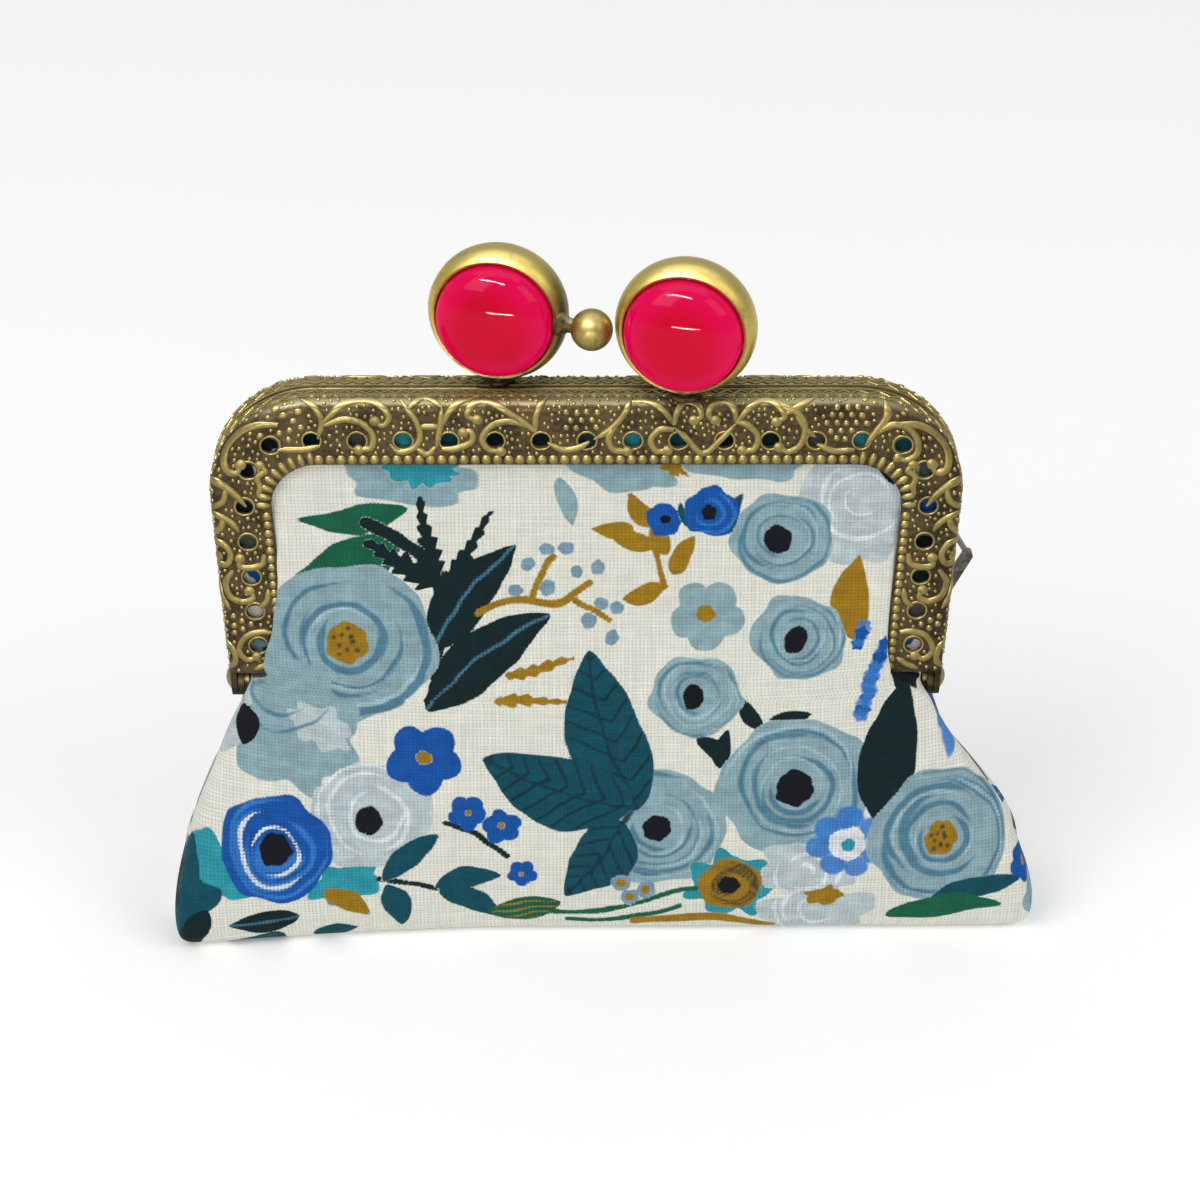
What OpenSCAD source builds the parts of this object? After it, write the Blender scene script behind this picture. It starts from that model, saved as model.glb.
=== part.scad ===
// Coin purse on an embossed metal kiss-lock frame: two U-shaped channel halves that turn on
// rivets at the leg ends, two bead heads with a ball catch, and a boxed pouch in three layers.
// Origin: middle of the base on the surface it stands on. +X right, -Y front, +Z up. Millimetres.

/* [Frame] */
// Width over both legs at the widest
frame_w = 85; // [70:1:120]
// Height from the leg ends to the top
frame_h = 35.3; // [30:0.1:60]
// Depth of one half, front to back
half_d = 3.5; // [3:0.1:5]
// Gap between the two closed halves
parting = 0.3; // [0.2:0.05:0.8]
// Thickness of the pressed sheet
sheet = 0.6; // [0.5:0.05:0.8]
// Radius of the outer corner
corner_r = 12; // [10:0.5:16]
// Radius of the inner corner
inner_r = 5.5; // [3:0.5:7]
// Width of the face across the top
top_face = 7.8; // [7:0.1:10]
// Width of the face down a leg
leg_face = 6.8; // [6:0.1:9]
// How much thinner the rim is pressed round the corners and down the legs, each side
bend_thin = 0.01; // [0.005:0.005:0.03]
// How far the back flange stays behind the face
flange_back = 1; // [0.5:0.1:2]
// Inward lean of the legs, degrees
leg_lean = 2; // [0:0.5:6]
// Rounding along the outer edges
edge_r = 1.2; // [0.9:0.1:1.5]

/* [Sewing holes] */
// Diameter of a sewing hole
hole_d = 1.9; // [1.2:0.1:2.4]
// Distance of the holes from the inner edge
hole_in = 3; // [2.4:0.1:3.6]
// Spacing along the top
hole_pitch = 5.13; // [4:0.01:8]
// Spacing down a leg
leg_hole_pitch = 4.6; // [4:0.1:8]

/* [Hinge] */
// Distance of the rivet below the leg ends
hinge_drop = 2.7; // [2.5:0.1:5]
// Radius of an ear round its rivet
ear_r = 2.2; // [1.6:0.1:2.4]
// Thickness of an ear
ear_t = 0.7; // [0.6:0.05:1]
// Side play between the ears and under the rivet head
ear_play = 0.1; // [0.05:0.01:0.3]
// Diameter of the rivet shank
rivet_d = 1.5; // [1:0.1:2]
// Radial clearance of the rivet in the outer ear
rivet_play = 0.05; // [0.02:0.01:0.1]
// Diameter of the rivet head
rivet_head_d = 3; // [2.4:0.1:4]
// Height of the rivet head
rivet_head_t = 0.7; // [0.5:0.1:1]
// Thickness of the closed tail of the rivet
rivet_tail_t = 0.5; // [0.3:0.1:1]

/* [Clasp] */
// Outer radius of a bead cup
cup_r = 7.9; // [6:0.1:9]
// Wall of a bead cup
cup_wall = 0.8; // [0.6:0.1:1.2]
// Distance of the cup rim in front of its middle
cup_rim = 2.6; // [2.3:0.1:3.5]
// Depth of the round back behind the middle
cup_back = 6.2; // [5:0.1:7]
// Rounding of the cup's shoulder towards the rim
rim_r = 2.2; // [1.5:0.1:2.3]
// Radius of a cabochon at the rim
stone_r = 6.6; // [5:0.1:7]
// Height of the cabochon dome above the rim
stone_dome = 3.4; // [2:0.1:5]
// Narrow shoulder round the foot of the dome
stone_step = 0.06; // [0.03:0.01:0.2]
// Depth of the cabochon seat below the rim
stone_seat = 1.4; // [1:0.1:2]
// Gap round and under a cabochon
stone_gap = 0.03; // [0.01:0.01:0.1]
// Distance of the rear head's middle left of the centre
rear_head_x = 9.8; // [8:0.1:12]
// Distance of the front head's middle right of the centre
front_head_x = 10.9; // [9:0.1:13]
// Height of a head's middle above the frame top
head_up = 8.5; // [7.5:0.1:12]
// How far the heads are turned to the left, degrees
head_turn = 11; // [0:1:20]
// Diameter of a post shank
post_d = 2.2; // [1.6:0.1:2.6]
// Diameter of the post collar and of its closed tail
collar_d = 3.6; // [3:0.1:4.5]
// Thickness of the closed tail under the frame wall
post_tail = 0.4; // [0.3:0.1:0.6]
// How far a post reaches into its cup
post_in = 0.7; // [0.4:0.1:0.8]
// Radius of the lock ball
ball_r = 2.35; // [1.5:0.05:3]
// Gap between the lock ball and the rim it snaps past
ball_gap = 0.15; // [0.05:0.01:0.5]
// Distance of the ball in front of the parting
ball_fwd = 2.2; // [1:0.1:3]
// Distance of the ball below the middle of the heads
ball_drop = 0.3; // [0:0.1:1]
// Diameter of the neck that carries the ball
neck_d = 1.6; // [1:0.1:2]

/* [Side loop] */
// Height of the loop's peak above the leg ends
loop_up = 12.7; // [8:0.1:20]
// How far the loop stands out from the frame wall
loop_out = 2.8; // [2:0.1:5]
// Height of the upper strand above the peak
loop_rise = 3.5; // [2:0.1:6]
// Depth of the lower strand below the peak
loop_fall = 4.9; // [3:0.1:8]
// Thickness of the upper strand
loop_thin = 0.5; // [0.4:0.1:1]
// Thickness of the lower strand
loop_thick = 1.1; // [0.8:0.1:1.6]
// Width of the strip from front to back
loop_w = 1.2; // [0.8:0.1:2]

/* [Fabric] */
// Thickness of the outer cloth
outer_t = 0.5; // [0.3:0.05:0.8]
// Thickness of the interlining
fleece_t = 0.6; // [0.4:0.05:1]
// Thickness of the lining cloth
lining_t = 0.35; // [0.25:0.05:0.6]
// Air left between the layers
layer_gap = 0.08; // [0.05:0.01:0.15]
// Diameter of the paper cord wedged in the channel
cord_d = 1.5; // [1:0.1:1.8]
// Height above the leg ends where the cloth leaves the frame plane
bulge_up = 15.3; // [12:0.1:20]
// How far the cloth stands in front of its channel at the hinge
bulge_out = 2.8; // [2:0.1:4]
// Height of the upper cloth's lower edge above the leg ends
upper_end = 0.6; // [0.5:0.1:4]
// Clear strip between the bulging cloth and each leg
leg_clear = 1.4; // [1:0.1:3]

/* [Pouch] */
// How far the base stands out past each side of the frame
base_out = 9.9; // [4:0.1:20]
// Depth of the pouch just above the base
base_d = 25.2; // [20:0.1:40]
// Height of the widest level
base_z = 3.5; // [2:0.1:6]
// How much narrower the base is where it rests, each side
foot_in = 1.5; // [0.5:0.1:4]
// How far the waist stands out past each side of the frame
waist_out = 6.5; // [2:0.1:16]
// Depth half way up
waist_d = 21.6; // [16:0.1:36]
// Height of that level
waist_z = 15; // [10:0.5:20]
// How far the mouth stands in from each side of the frame
mouth_in = 1.9; // [1:0.1:4]
// Depth at the hinge level
mouth_d = 14; // [12:0.1:24]
// Rounding of the pouch corners in plan
pouch_r = 6; // [4:0.5:10]
// Height of the hinge rivets above the surface
hinge_z = 30; // [28:0.5:50]
// Clear space between the ears and the pouch below them
mouth_clear = 0.4; // [0.3:0.1:1]
// Seam gap between the front and rear cloth of the pouch
seam_gap = 0.1; // [0.05:0.01:0.3]

/* [Hidden] */
$fn = 48;
leg_z = hinge_z + hinge_drop;
top_z = leg_z + frame_h;
half_in = parting / 2;
half_y = half_in + half_d / 2;
face_y = half_in + half_d;
foot_x = frame_w / 2 - corner_r + corner_r * cos(leg_lean);
foot_z = top_z - corner_r - corner_r * sin(leg_lean);
lap = 0.25;
plate_inset = edge_r + lap;
leg_hole_inset = leg_face - hole_in;
top_hole_inset = top_face - hole_in;
corner_x = frame_w / 2 - corner_r;
corner_z = top_z - corner_r;
top_holes = 2 * floor((corner_x + 0.5) / hole_pitch) + 1;
leg_holes = floor((corner_z - leg_z - 2.5) / leg_hole_pitch) + 1;
corner_hole_angles = [24, 53];
ear_x = leg_x(leg_z, 0);
rear_ear_x = ear_x - ear_t - ear_play;
joggle_up = 3;
cord_inset = sheet + layer_gap + cord_d / 2;
cloth_inset = cord_inset + cord_d / 2 + layer_gap;
outer_y = face_y - sheet - layer_gap;
fleece_y = outer_y - outer_t - layer_gap;
lining_y = fleece_y - fleece_t - layer_gap;
bulge_z = leg_z + bulge_up;
upper_z = leg_z + upper_end;
bulge_x = leg_x(upper_z, leg_face + leg_clear);
head_z = top_z + head_up;
tail_d = min(collar_d, half_d - 2 * sheet - 0.1);
ball = [front_head_x - cup_r - ball_gap - ball_r, -ball_fwd, head_z - ball_drop];
mouth_z = hinge_z - ear_r - mouth_clear;
pouch_levels = [
    [0, frame_w / 2 + base_out - foot_in, base_d / 2 - foot_in],
    [base_z, frame_w / 2 + base_out, base_d / 2],
    [waist_z, frame_w / 2 + waist_out, waist_d / 2],
    [hinge_z, frame_w / 2 - mouth_in, mouth_d / 2],
];
loop_z = leg_z + loop_up;

brass = "#8a7a3f";
pink = "#e4094f";
cotton = "#a9c3cc";
ivory = "#f2eee2";
fleece_white = "#fafaf7";
card = "#c9b48a";

// Half width of the leg line at a height, moved inward by an inset square to the leg
function leg_x(z, inset) =
    foot_x + (-inset + (z - foot_z) * sin(leg_lean)) / cos(leg_lean);

// The rear pieces are the front ones mirrored across the parting plane
module facing(rear) {
    if (rear) mirror([0, 1, 0]) children();
    else children();
}

// Both sides of the frame
module both_sides() {
    children();
    mirror([1, 0, 0]) children();
}

// Filled arch in X and Z: straight top, round corners, leaning legs
module arch(leg_inset, top_inset, r, bottom) {
    cz = top_z - top_inset - r;
    cx = leg_x(cz, leg_inset + r);
    tx = cx + r * cos(leg_lean);
    tz = cz - r * sin(leg_lean);
    bx = leg_x(bottom, leg_inset);
    polygon([[-bx, bottom], [-tx, tz], [-cx, cz + r], [cx, cz + r], [tx, tz], [bx, bottom]]);
    for (side = [-1, 1]) translate([side * cx, cz]) circle(r);
}

// A slab of an X-Z outline between two distances in front of the parting plane
module slab(near, far) {
    translate([0, -near, 0]) rotate([90, 0, 0]) linear_extrude(far - near) children();
}

// Rounded end of the channel section: outward distance across, depth up
module bead_end(reach, depth, r, start) {
    translate([start, -depth / 2]) square([reach - r - start, depth]);
    translate([start, -depth / 2 + r]) square([reach - start, depth - 2 * r]);
    for (side = [-1, 1]) translate([reach - r, side * (depth / 2 - r)]) circle(r);
}

// Section of the pressed rim, measured from the middle of the corner
module rim_section(thin) {
    start = corner_r - edge_r - 2 * lap;
    wall = corner_r - sheet - thin;
    difference() {
        bead_end(corner_r - thin, half_d - 2 * thin, edge_r, start);
        translate([start - 1, sheet - half_d / 2]) square([wall - start + 1, half_d - 2 * sheet]);
    }
}

// The first section carried along the top, the last one round both corners and down both legs
module along_frame() {
    leg_len = (foot_z - leg_z) / cos(leg_lean) + 2;
    last = $children - 1;
    translate([-corner_x, -half_y, corner_z]) rotate([90, 0, 90])
        linear_extrude(2 * corner_x) rotate(90) mirror([0, 1]) children(0);
    both_sides() translate([corner_x, -half_y, corner_z]) {
        rotate([90, 0, 0]) rotate([0, 0, -leg_lean])
            rotate_extrude(angle = 90 + leg_lean) mirror([0, 1]) children(last);
        rotate([0, leg_lean, 0]) translate([0, 0, -leg_len]) linear_extrude(leg_len) children(last);
    }
}

// Everything above a height
module above(z) {
    intersection() {
        children();
        translate([-frame_w, -frame_w, z]) cube(2 * frame_w);
    }
}

module sewing_holes() {
    module hole(x, z) {
        translate([x, 0, z]) rotate([90, 0, 0]) cylinder(h = face_y + 1, d = hole_d);
    }
    for (i = [0 : top_holes - 1])
        hole((i - (top_holes - 1) / 2) * hole_pitch, top_z - top_hole_inset);
    both_sides() {
        for (a = corner_hole_angles) {
            r = corner_r - leg_hole_inset;
            hole(corner_x + r * cos(a), corner_z + r * sin(a));
        }
        for (i = [0 : leg_holes - 1]) {
            z = corner_z - 1.3 - i * leg_hole_pitch;
            hole(leg_x(z, leg_hole_inset), z);
        }
    }
}

// One pressed channel: rim, perforated face and the shorter back flange
module channel() {
    difference() {
        union() {
            above(leg_z) along_frame() {
                rim_section(0);
                rim_section(bend_thin);
            }
            slab(face_y - sheet, face_y) difference() {
                arch(plate_inset, plate_inset, corner_r - plate_inset, leg_z);
                arch(leg_face, top_face, inner_r, leg_z - 1);
            }
            slab(half_in, half_in + sheet) difference() {
                arch(plate_inset, plate_inset, corner_r - plate_inset, leg_z);
                arch(leg_face - flange_back, top_face - flange_back, inner_r + flange_back, leg_z - 1);
            }
        }
        sewing_holes();
    }
}

// Ear outline in Y and Z: a round end on the hinge axis and a neck up to the leg
module ear_outline(neck_top) {
    translate([0, hinge_z]) circle(ear_r);
    polygon([
        [-ear_r * 0.94, hinge_z - ear_r * 0.34], [-face_y + edge_r, leg_z], [-face_y + edge_r, neck_top],
        [-half_in - edge_r * 0.6, neck_top], [-half_in - edge_r * 0.6, leg_z],
        [ear_r * 0.5, hinge_z + ear_r * 0.86],
    ]);
}

module ear_plate(x, neck_top) {
    translate([x - ear_t, 0, 0]) rotate([90, 0, 90]) linear_extrude(ear_t) ear_outline(neck_top);
}

module rivet_bore(d) {
    translate([ear_x - 4, 0, hinge_z]) rotate([0, 90, 0]) cylinder(h = 8, d = d);
}

// The front half carries the outer ears, flush with the leg walls
module front_frame() {
    color(brass) difference() {
        union() {
            channel();
            both_sides() ear_plate(ear_x, leg_z + 0.8);
        }
        both_sides() rivet_bore(rivet_d + 2 * rivet_play);
        post_bore(front_head_x);
    }
}

// The rear half carries the inner ears, stepped in by a joggle inside the channel
module rear_frame() {
    step_y = half_d - 2 * edge_r;
    color(brass) difference() {
        facing(true) {
            channel();
            both_sides() {
                ear_plate(rear_ear_x, leg_z + joggle_up);
                translate([rear_ear_x - ear_t, -half_y - step_y / 2, leg_z + 0.3])
                    cube([ear_t + ear_play + 0.3, step_y, joggle_up - 0.3]);
            }
        }
        both_sides() rivet_bore(rivet_d);
        facing(true) post_bore(-rear_head_x);
    }
}

// Domed outer head, shank through both ears, flat closed tail
module hinge_rivet() {
    head_r = rivet_head_d / 2;
    dome_r = (head_r * head_r + rivet_head_t * rivet_head_t) / (2 * rivet_head_t);
    inner = rear_ear_x - ear_t;
    translate([0, 0, hinge_z]) rotate([0, 90, 0]) {
        translate([0, 0, inner]) cylinder(h = ear_x + ear_play - inner, d = rivet_d);
        translate([0, 0, inner - rivet_tail_t]) cylinder(h = rivet_tail_t, r = head_r * 0.93);
        translate([0, 0, ear_x + ear_play]) intersection() {
            cylinder(h = rivet_head_t, r = head_r);
            translate([0, 0, rivet_head_t - dome_r]) sphere(dome_r);
        }
    }
}

module hinge_rivet_left() { color(brass) mirror([1, 0, 0]) hinge_rivet(); }
module hinge_rivet_right() { color(brass) hinge_rivet(); }

// Puts a head's own axis, +Z forward, at the top of its post
module at_head(x) {
    translate([x, -half_y, head_z]) rotate([0, 0, -head_turn]) rotate([90, 0, 0]) children();
}

// Spun cup: a flattened round back, a full waist and a rolled rim round the cabochon
module cup_shape() {
    seat = cup_rim - stone_seat;
    back_r = (cup_r * cup_r + cup_back * cup_back) / (2 * cup_back);
    rotate_extrude() difference() {
        union() {
            intersection() {
                translate([0, back_r - cup_back]) circle(back_r, $fn = 96);
                translate([0, -cup_back]) square([cup_r, cup_back]);
            }
            square([cup_r - rim_r, cup_rim]);
            intersection() {
                translate([cup_r - rim_r, cup_rim - rim_r]) circle(rim_r);
                square([cup_r, cup_rim]);
            }
        }
        translate([0, seat]) square([stone_r + stone_gap, cup_rim]);
        intersection() {
            translate([0, back_r - cup_back]) circle(back_r - cup_wall, $fn = 96);
            translate([0, -cup_back]) square([stone_r - cup_wall, cup_back + seat + 1]);
        }
    }
}

module cup(x) {
    difference() {
        at_head(x) cup_shape();
        translate([x, -half_y, head_z - cup_r - 1]) cylinder(h = post_in + 1, d = post_d);
    }
}

module front_head_cup() { color(brass) cup(front_head_x); }
module rear_head_cup() { color(brass) translate([0, 2 * half_y, 0]) cup(-rear_head_x); }

// Cabochon: a short cylindrical girdle and a high dome
module cabochon() {
    seat = cup_rim - stone_seat + stone_gap;
    foot_r = stone_r - stone_step;
    dome_r = (foot_r * foot_r + stone_dome * stone_dome) / (2 * stone_dome);
    rotate_extrude() {
        translate([0, seat]) square([stone_r, cup_rim - seat]);
        intersection() {
            translate([0, cup_rim + stone_dome - dome_r]) circle(dome_r, $fn = 96);
            translate([0, cup_rim - stone_step]) square([stone_r, stone_dome + 1]);
        }
    }
}

module front_cabochon() { color(pink) at_head(front_head_x) cabochon(); }
module rear_cabochon() { color(pink) translate([0, 2 * half_y, 0]) at_head(-rear_head_x) cabochon(); }

module post_bore(x) {
    translate([x, -half_y, top_z - 2 * sheet]) cylinder(h = 4 * sheet, d = post_d);
}

// Post: tail closed under the frame wall, collar on top of it, pin up into the cup
module head_post(x, y) {
    collar_h = head_up - cup_r - 0.15;
    translate([x, y, 0]) {
        translate([0, 0, top_z - sheet - post_tail]) cylinder(h = post_tail, d = tail_d);
        translate([0, 0, top_z - sheet]) cylinder(h = head_up - cup_r + sheet + post_in - 0.02, d = post_d);
        translate([0, 0, top_z]) cylinder(h = collar_h, d = collar_d);
    }
}

module front_head_post() { color(brass) head_post(front_head_x, -half_y); }
module rear_head_post() { color(brass) head_post(-rear_head_x, half_y); }

// Lock ball on a short neck that grows out of the rear head
module lock_ball() {
    from = [-rear_head_x, half_y, head_z];
    reach = ball - from;
    len = norm(reach);
    turn = atan2(reach[1], reach[0]);
    tilt = acos(reach[2] / len);
    color(brass) difference() {
        union() {
            translate(ball) sphere(ball_r);
            translate(from) rotate([0, tilt, turn]) translate([0, 0, cup_r * 0.9])
                cylinder(h = len - cup_r * 0.9, d = neck_d);
        }
        translate([0, 2 * half_y, 0]) at_head(-rear_head_x) rotate_extrude()
            intersection() {
                circle(cup_r + 0.02, $fn = 96);
                translate([0, -cup_r - 1]) square([cup_r + 1, 2 * cup_r + 2]);
            }
    }
}

// Strap lug on the rear half's right wall: a thin upper strand and a broad lower one
module side_loop() {
    module strand(z0, z1, t, w) {
        x0 = leg_x(z0, 0) + 0.03;
        x1 = leg_x(loop_z, 0) + loop_out - loop_thick / 2;
        len = norm([x1 - x0, z1 - z0]);
        translate([x0, half_y, z0]) rotate([0, atan2(x1 - x0, z1 - z0), 0])
            translate([-t / 2, -w / 2, 0]) cube([t, w, len]);
    }
    color(brass) intersection() {
        union() {
            strand(loop_z + loop_rise, loop_z, loop_thin, loop_w);
            strand(loop_z - loop_fall, loop_z, loop_thick, loop_w);
            translate([leg_x(loop_z, 0) + loop_out - loop_thick / 2, half_y - loop_w / 2, loop_z])
                rotate([-90, 0, 0]) cylinder(h = loop_w, d = loop_thick);
        }
        rotate([0, leg_lean, 0]) translate([leg_x(0, 0) * cos(leg_lean) + 0.03, 0, 0])
            cube([10, 10, top_z]);
    }
}

// Paper cord wedged along the crown of the channel, notched under the closed tail of its post
module paper_cord(post_x) {
    difference() {
        above(leg_z + joggle_up + 0.4) along_frame()
            translate([corner_r - cord_inset, 0]) circle(d = cord_d);
        translate([post_x, -half_y, top_z - sheet - post_tail - layer_gap])
            cylinder(h = post_tail + sheet, d = tail_d + 2 * layer_gap);
    }
}

module front_paper_cord() { color(card) paper_cord(front_head_x); }
module rear_paper_cord() { color(card) facing(true) paper_cord(-rear_head_x); }

// Cloth of one half above the hinge: flat in the channel, standing forward between the legs
module upper_cloth(far, t, leg_inset, top_inset) {
    r = max(inner_r, corner_r - leg_inset);
    slab(far - t, far) difference() {
        arch(leg_inset, top_inset, r, leg_z + 0.5);
        translate([-bulge_x - 0.1, 0]) square([2 * bulge_x + 0.2, bulge_z - 0.6]);
    }
    slope = bulge_out / (bulge_z - upper_z);
    translate([-bulge_x, 0, 0]) rotate([90, 0, 90]) linear_extrude(2 * bulge_x) polygon([
        [-far, bulge_z], [-far + t, bulge_z],
        [-far + t - slope * (bulge_z - upper_z), upper_z], [-far - slope * (bulge_z - upper_z), upper_z],
    ]);
}

module outer_upper() { upper_cloth(outer_y, outer_t, cloth_inset, cloth_inset); }
module fleece_upper() { upper_cloth(fleece_y, fleece_t, leg_face + 0.3, top_face + 0.3); }
module lining_upper() { upper_cloth(lining_y, lining_t, cloth_inset, cloth_inset); }

module outer_front_upper() { color(cotton) outer_upper(); }
module outer_rear_upper() { color(cotton) facing(true) outer_upper(); }
module fleece_front_upper() { color(fleece_white) fleece_upper(); }
module fleece_rear_upper() { color(fleece_white) facing(true) fleece_upper(); }
module lining_front_upper() { color(ivory) lining_upper(); }
module lining_rear_upper() { color(ivory) facing(true) lining_upper(); }

// The pouch below the hinge as one closed form, shrunk by an inset
module pouch_form(inset) {
    hull() for (level = pouch_levels) {
        z = level[0] == 0 ? inset : level[0];
        translate([0, 0, z]) linear_extrude(0.01) hull() for (sx = [-1, 1], sy = [-1, 1])
            translate([sx * (level[1] - pouch_r), sy * (level[2] - pouch_r)])
                circle(pouch_r - inset, $fn = 32);
    }
}

// Front half of one layer, from an outer to an inner inset, open at the mouth
module lower_layer(inset, t) {
    difference() {
        pouch_form(inset);
        pouch_form(inset + t);
        translate([-frame_w - base_out, -seam_gap / 2, -1])
            cube([2 * (frame_w + base_out), base_d, hinge_z + 2]);
        translate([-frame_w - base_out, -base_d, mouth_z])
            cube([2 * (frame_w + base_out), 2 * base_d, hinge_z]);
    }
}

module outer_lower() { lower_layer(0, outer_t); }
module fleece_lower() { lower_layer(outer_t + layer_gap, fleece_t); }
module lining_lower() { lower_layer(outer_t + fleece_t + 2 * layer_gap, lining_t); }

module outer_front_lower() { color(cotton) outer_lower(); }
module outer_rear_lower() { color(cotton) facing(true) outer_lower(); }
module fleece_front_lower() { color(fleece_white) fleece_lower(); }
module fleece_rear_lower() { color(fleece_white) facing(true) fleece_lower(); }
module lining_front_lower() { color(ivory) lining_lower(); }
module lining_rear_lower() { color(ivory) facing(true) lining_lower(); }

front_frame();
rear_frame();
hinge_rivet_left();
hinge_rivet_right();
front_head_cup();
rear_head_cup();
front_cabochon();
rear_cabochon();
front_head_post();
rear_head_post();
lock_ball();
side_loop();
front_paper_cord();
rear_paper_cord();
outer_front_upper();
outer_rear_upper();
fleece_front_upper();
fleece_rear_upper();
lining_front_upper();
lining_rear_upper();
outer_front_lower();
outer_rear_lower();
fleece_front_lower();
fleece_rear_lower();
lining_front_lower();
lining_rear_lower();
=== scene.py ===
import math
import bpy
import numpy as np
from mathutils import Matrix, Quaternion, Vector


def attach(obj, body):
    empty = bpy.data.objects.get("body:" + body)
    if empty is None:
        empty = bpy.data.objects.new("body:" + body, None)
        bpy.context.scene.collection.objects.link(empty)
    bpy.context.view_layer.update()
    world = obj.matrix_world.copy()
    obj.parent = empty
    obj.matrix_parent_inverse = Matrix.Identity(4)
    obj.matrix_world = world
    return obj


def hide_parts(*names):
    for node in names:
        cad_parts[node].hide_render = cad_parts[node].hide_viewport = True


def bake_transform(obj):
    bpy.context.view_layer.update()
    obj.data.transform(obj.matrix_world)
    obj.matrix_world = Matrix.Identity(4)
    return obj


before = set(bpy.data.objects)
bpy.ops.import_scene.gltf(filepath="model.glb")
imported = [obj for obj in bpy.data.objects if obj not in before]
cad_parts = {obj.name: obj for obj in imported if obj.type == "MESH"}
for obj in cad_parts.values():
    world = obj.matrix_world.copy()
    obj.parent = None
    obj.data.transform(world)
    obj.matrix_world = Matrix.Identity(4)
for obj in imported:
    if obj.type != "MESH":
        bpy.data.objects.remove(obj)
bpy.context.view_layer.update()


# ---------------------------------------------------------------- view and light
# The purse stands on a plain pale floor in soft studio light. The camera looks down on it
# from a little above, from in front.
def deselect_everything():
    if bpy.context.object is not None and bpy.context.object.mode != "OBJECT":
        bpy.ops.object.mode_set(mode="OBJECT")
    bpy.ops.object.select_all(action="DESELECT")


def select_only(piece):
    deselect_everything()
    piece.select_set(True)
    bpy.context.view_layer.objects.active = piece


def new_finish(name):
    """A new material, with its node tree and its shader."""
    material = bpy.data.materials.new(name)
    material.use_nodes = True
    return material, material.node_tree, material.node_tree.nodes["Principled BSDF"]


deselect_everything()
pitch, heading, roll = math.radians(30.7), math.radians(-0.77), math.radians(0.31)
bpy.ops.object.camera_add(location=(-0.00244, -0.3010, 0.2191))
camera = bpy.context.object
camera.name = "camera"
camera.rotation_mode = "QUATERNION"
camera.rotation_quaternion = (
    Quaternion((0, 0, 1), heading)
    @ Quaternion((1, 0, 0), math.pi / 2 - pitch)
    @ Quaternion((0, 0, 1), roll)
)
camera.data.lens = 90.1
camera.data.sensor_width = 36
camera.data.clip_start = 0.02
camera.data.dof.use_dof = False
bpy.context.scene.camera = camera
bpy.context.scene.view_settings.view_transform = "Standard"

bpy.ops.mesh.primitive_plane_add(size=6, location=(0, 0, 0))
floor = bpy.context.object
floor.name = "floor"
floor_paint, _, floor_shader = new_finish("floor_paint")
floor_shader.inputs["Base Color"].default_value = (0.98, 0.98, 0.98, 1)
floor_shader.inputs["Roughness"].default_value = 0.9
floor_shader.inputs["Specular IOR Level"].default_value = 0.1
floor_shader.inputs["Emission Color"].default_value = (1, 1, 1, 1)
floor_shader.inputs["Emission Strength"].default_value = 0.16
floor.data.materials.append(floor_paint)

world = bpy.data.worlds.new("studio")
world.use_nodes = True
world.node_tree.nodes["Background"].inputs["Color"].default_value = (1, 1, 1, 1)
world.node_tree.nodes["Background"].inputs["Strength"].default_value = 0.55
bpy.context.scene.world = world


def add_softbox(name, place, aim, width, height, power):
    bpy.ops.object.light_add(type="AREA", location=place)
    lamp = bpy.context.object
    lamp.name = name
    lamp.data.shape = "RECTANGLE"
    lamp.data.size = width
    lamp.data.size_y = height
    lamp.data.energy = power
    lamp.rotation_euler = (Vector(aim) - Vector(place)).to_track_quat("-Z", "Y").to_euler()
    return lamp


add_softbox("softbox_left", (-0.55, -0.45, 0.75), (0, 0, 0.04), 0.6, 0.6, 3.4)
add_softbox("softbox_right", (0.60, -0.35, 0.60), (0, 0, 0.04), 0.5, 0.5, 1.5)
strip_top = add_softbox("strip_top", (-0.15, -0.283, 0.547), (0, 0, 0.077), 0.40, 0.036, 5.0)
strip_front = add_softbox("strip_front", (-0.10, -0.561, 0.055), (0, 0, 0.077), 0.30, 0.010, 1.5)
overhead = add_softbox("softbox_above", (0, 0.10, 0.60), (0, 0, 0.07), 0.7, 0.45, 1.5)
for strip in (strip_top, strip_front, overhead):
    strip.visible_diffuse = False


# ---------------------------------------------------------------- brass frame halves
# Two stamped brass channels, hinged at their legs. The pressed pattern stands proud of a dark
# patina and is polished where it is touched; its upward faces are painted paler, as painted light from
# above. The halves are CAD pieces; this finishes them.
def new_group(name, inputs, outputs):
    group = bpy.data.node_groups.new(name, "ShaderNodeTree")
    for label, kind, value in inputs:
        socket = group.interface.new_socket(label, in_out="INPUT", socket_type=kind)
        if value is not None:
            socket.default_value = value
    for label, kind in outputs:
        group.interface.new_socket(label, in_out="OUTPUT", socket_type=kind)
    start = group.nodes.new("NodeGroupInput")
    end = group.nodes.new("NodeGroupOutput")
    return group, start, end


def sum_of(tree, operation, a, b=None, c=None, clamp=False):
    node = tree.nodes.new("ShaderNodeMath")
    node.operation = operation
    node.use_clamp = clamp
    for slot, value in enumerate((a, b, c)):
        if value is None:
            continue
        if isinstance(value, (int, float)):
            node.inputs[slot].default_value = value
        else:
            tree.links.new(value, node.inputs[slot])
    return node.outputs[0]


def noise(tree, vector, scale, detail=3.0, roughness=0.55):
    node = tree.nodes.new("ShaderNodeTexNoise")
    node.inputs["Scale"].default_value = scale
    node.inputs["Detail"].default_value = detail
    node.inputs["Roughness"].default_value = roughness
    tree.links.new(vector, node.inputs["Vector"])
    return node.outputs["Fac"]


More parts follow.
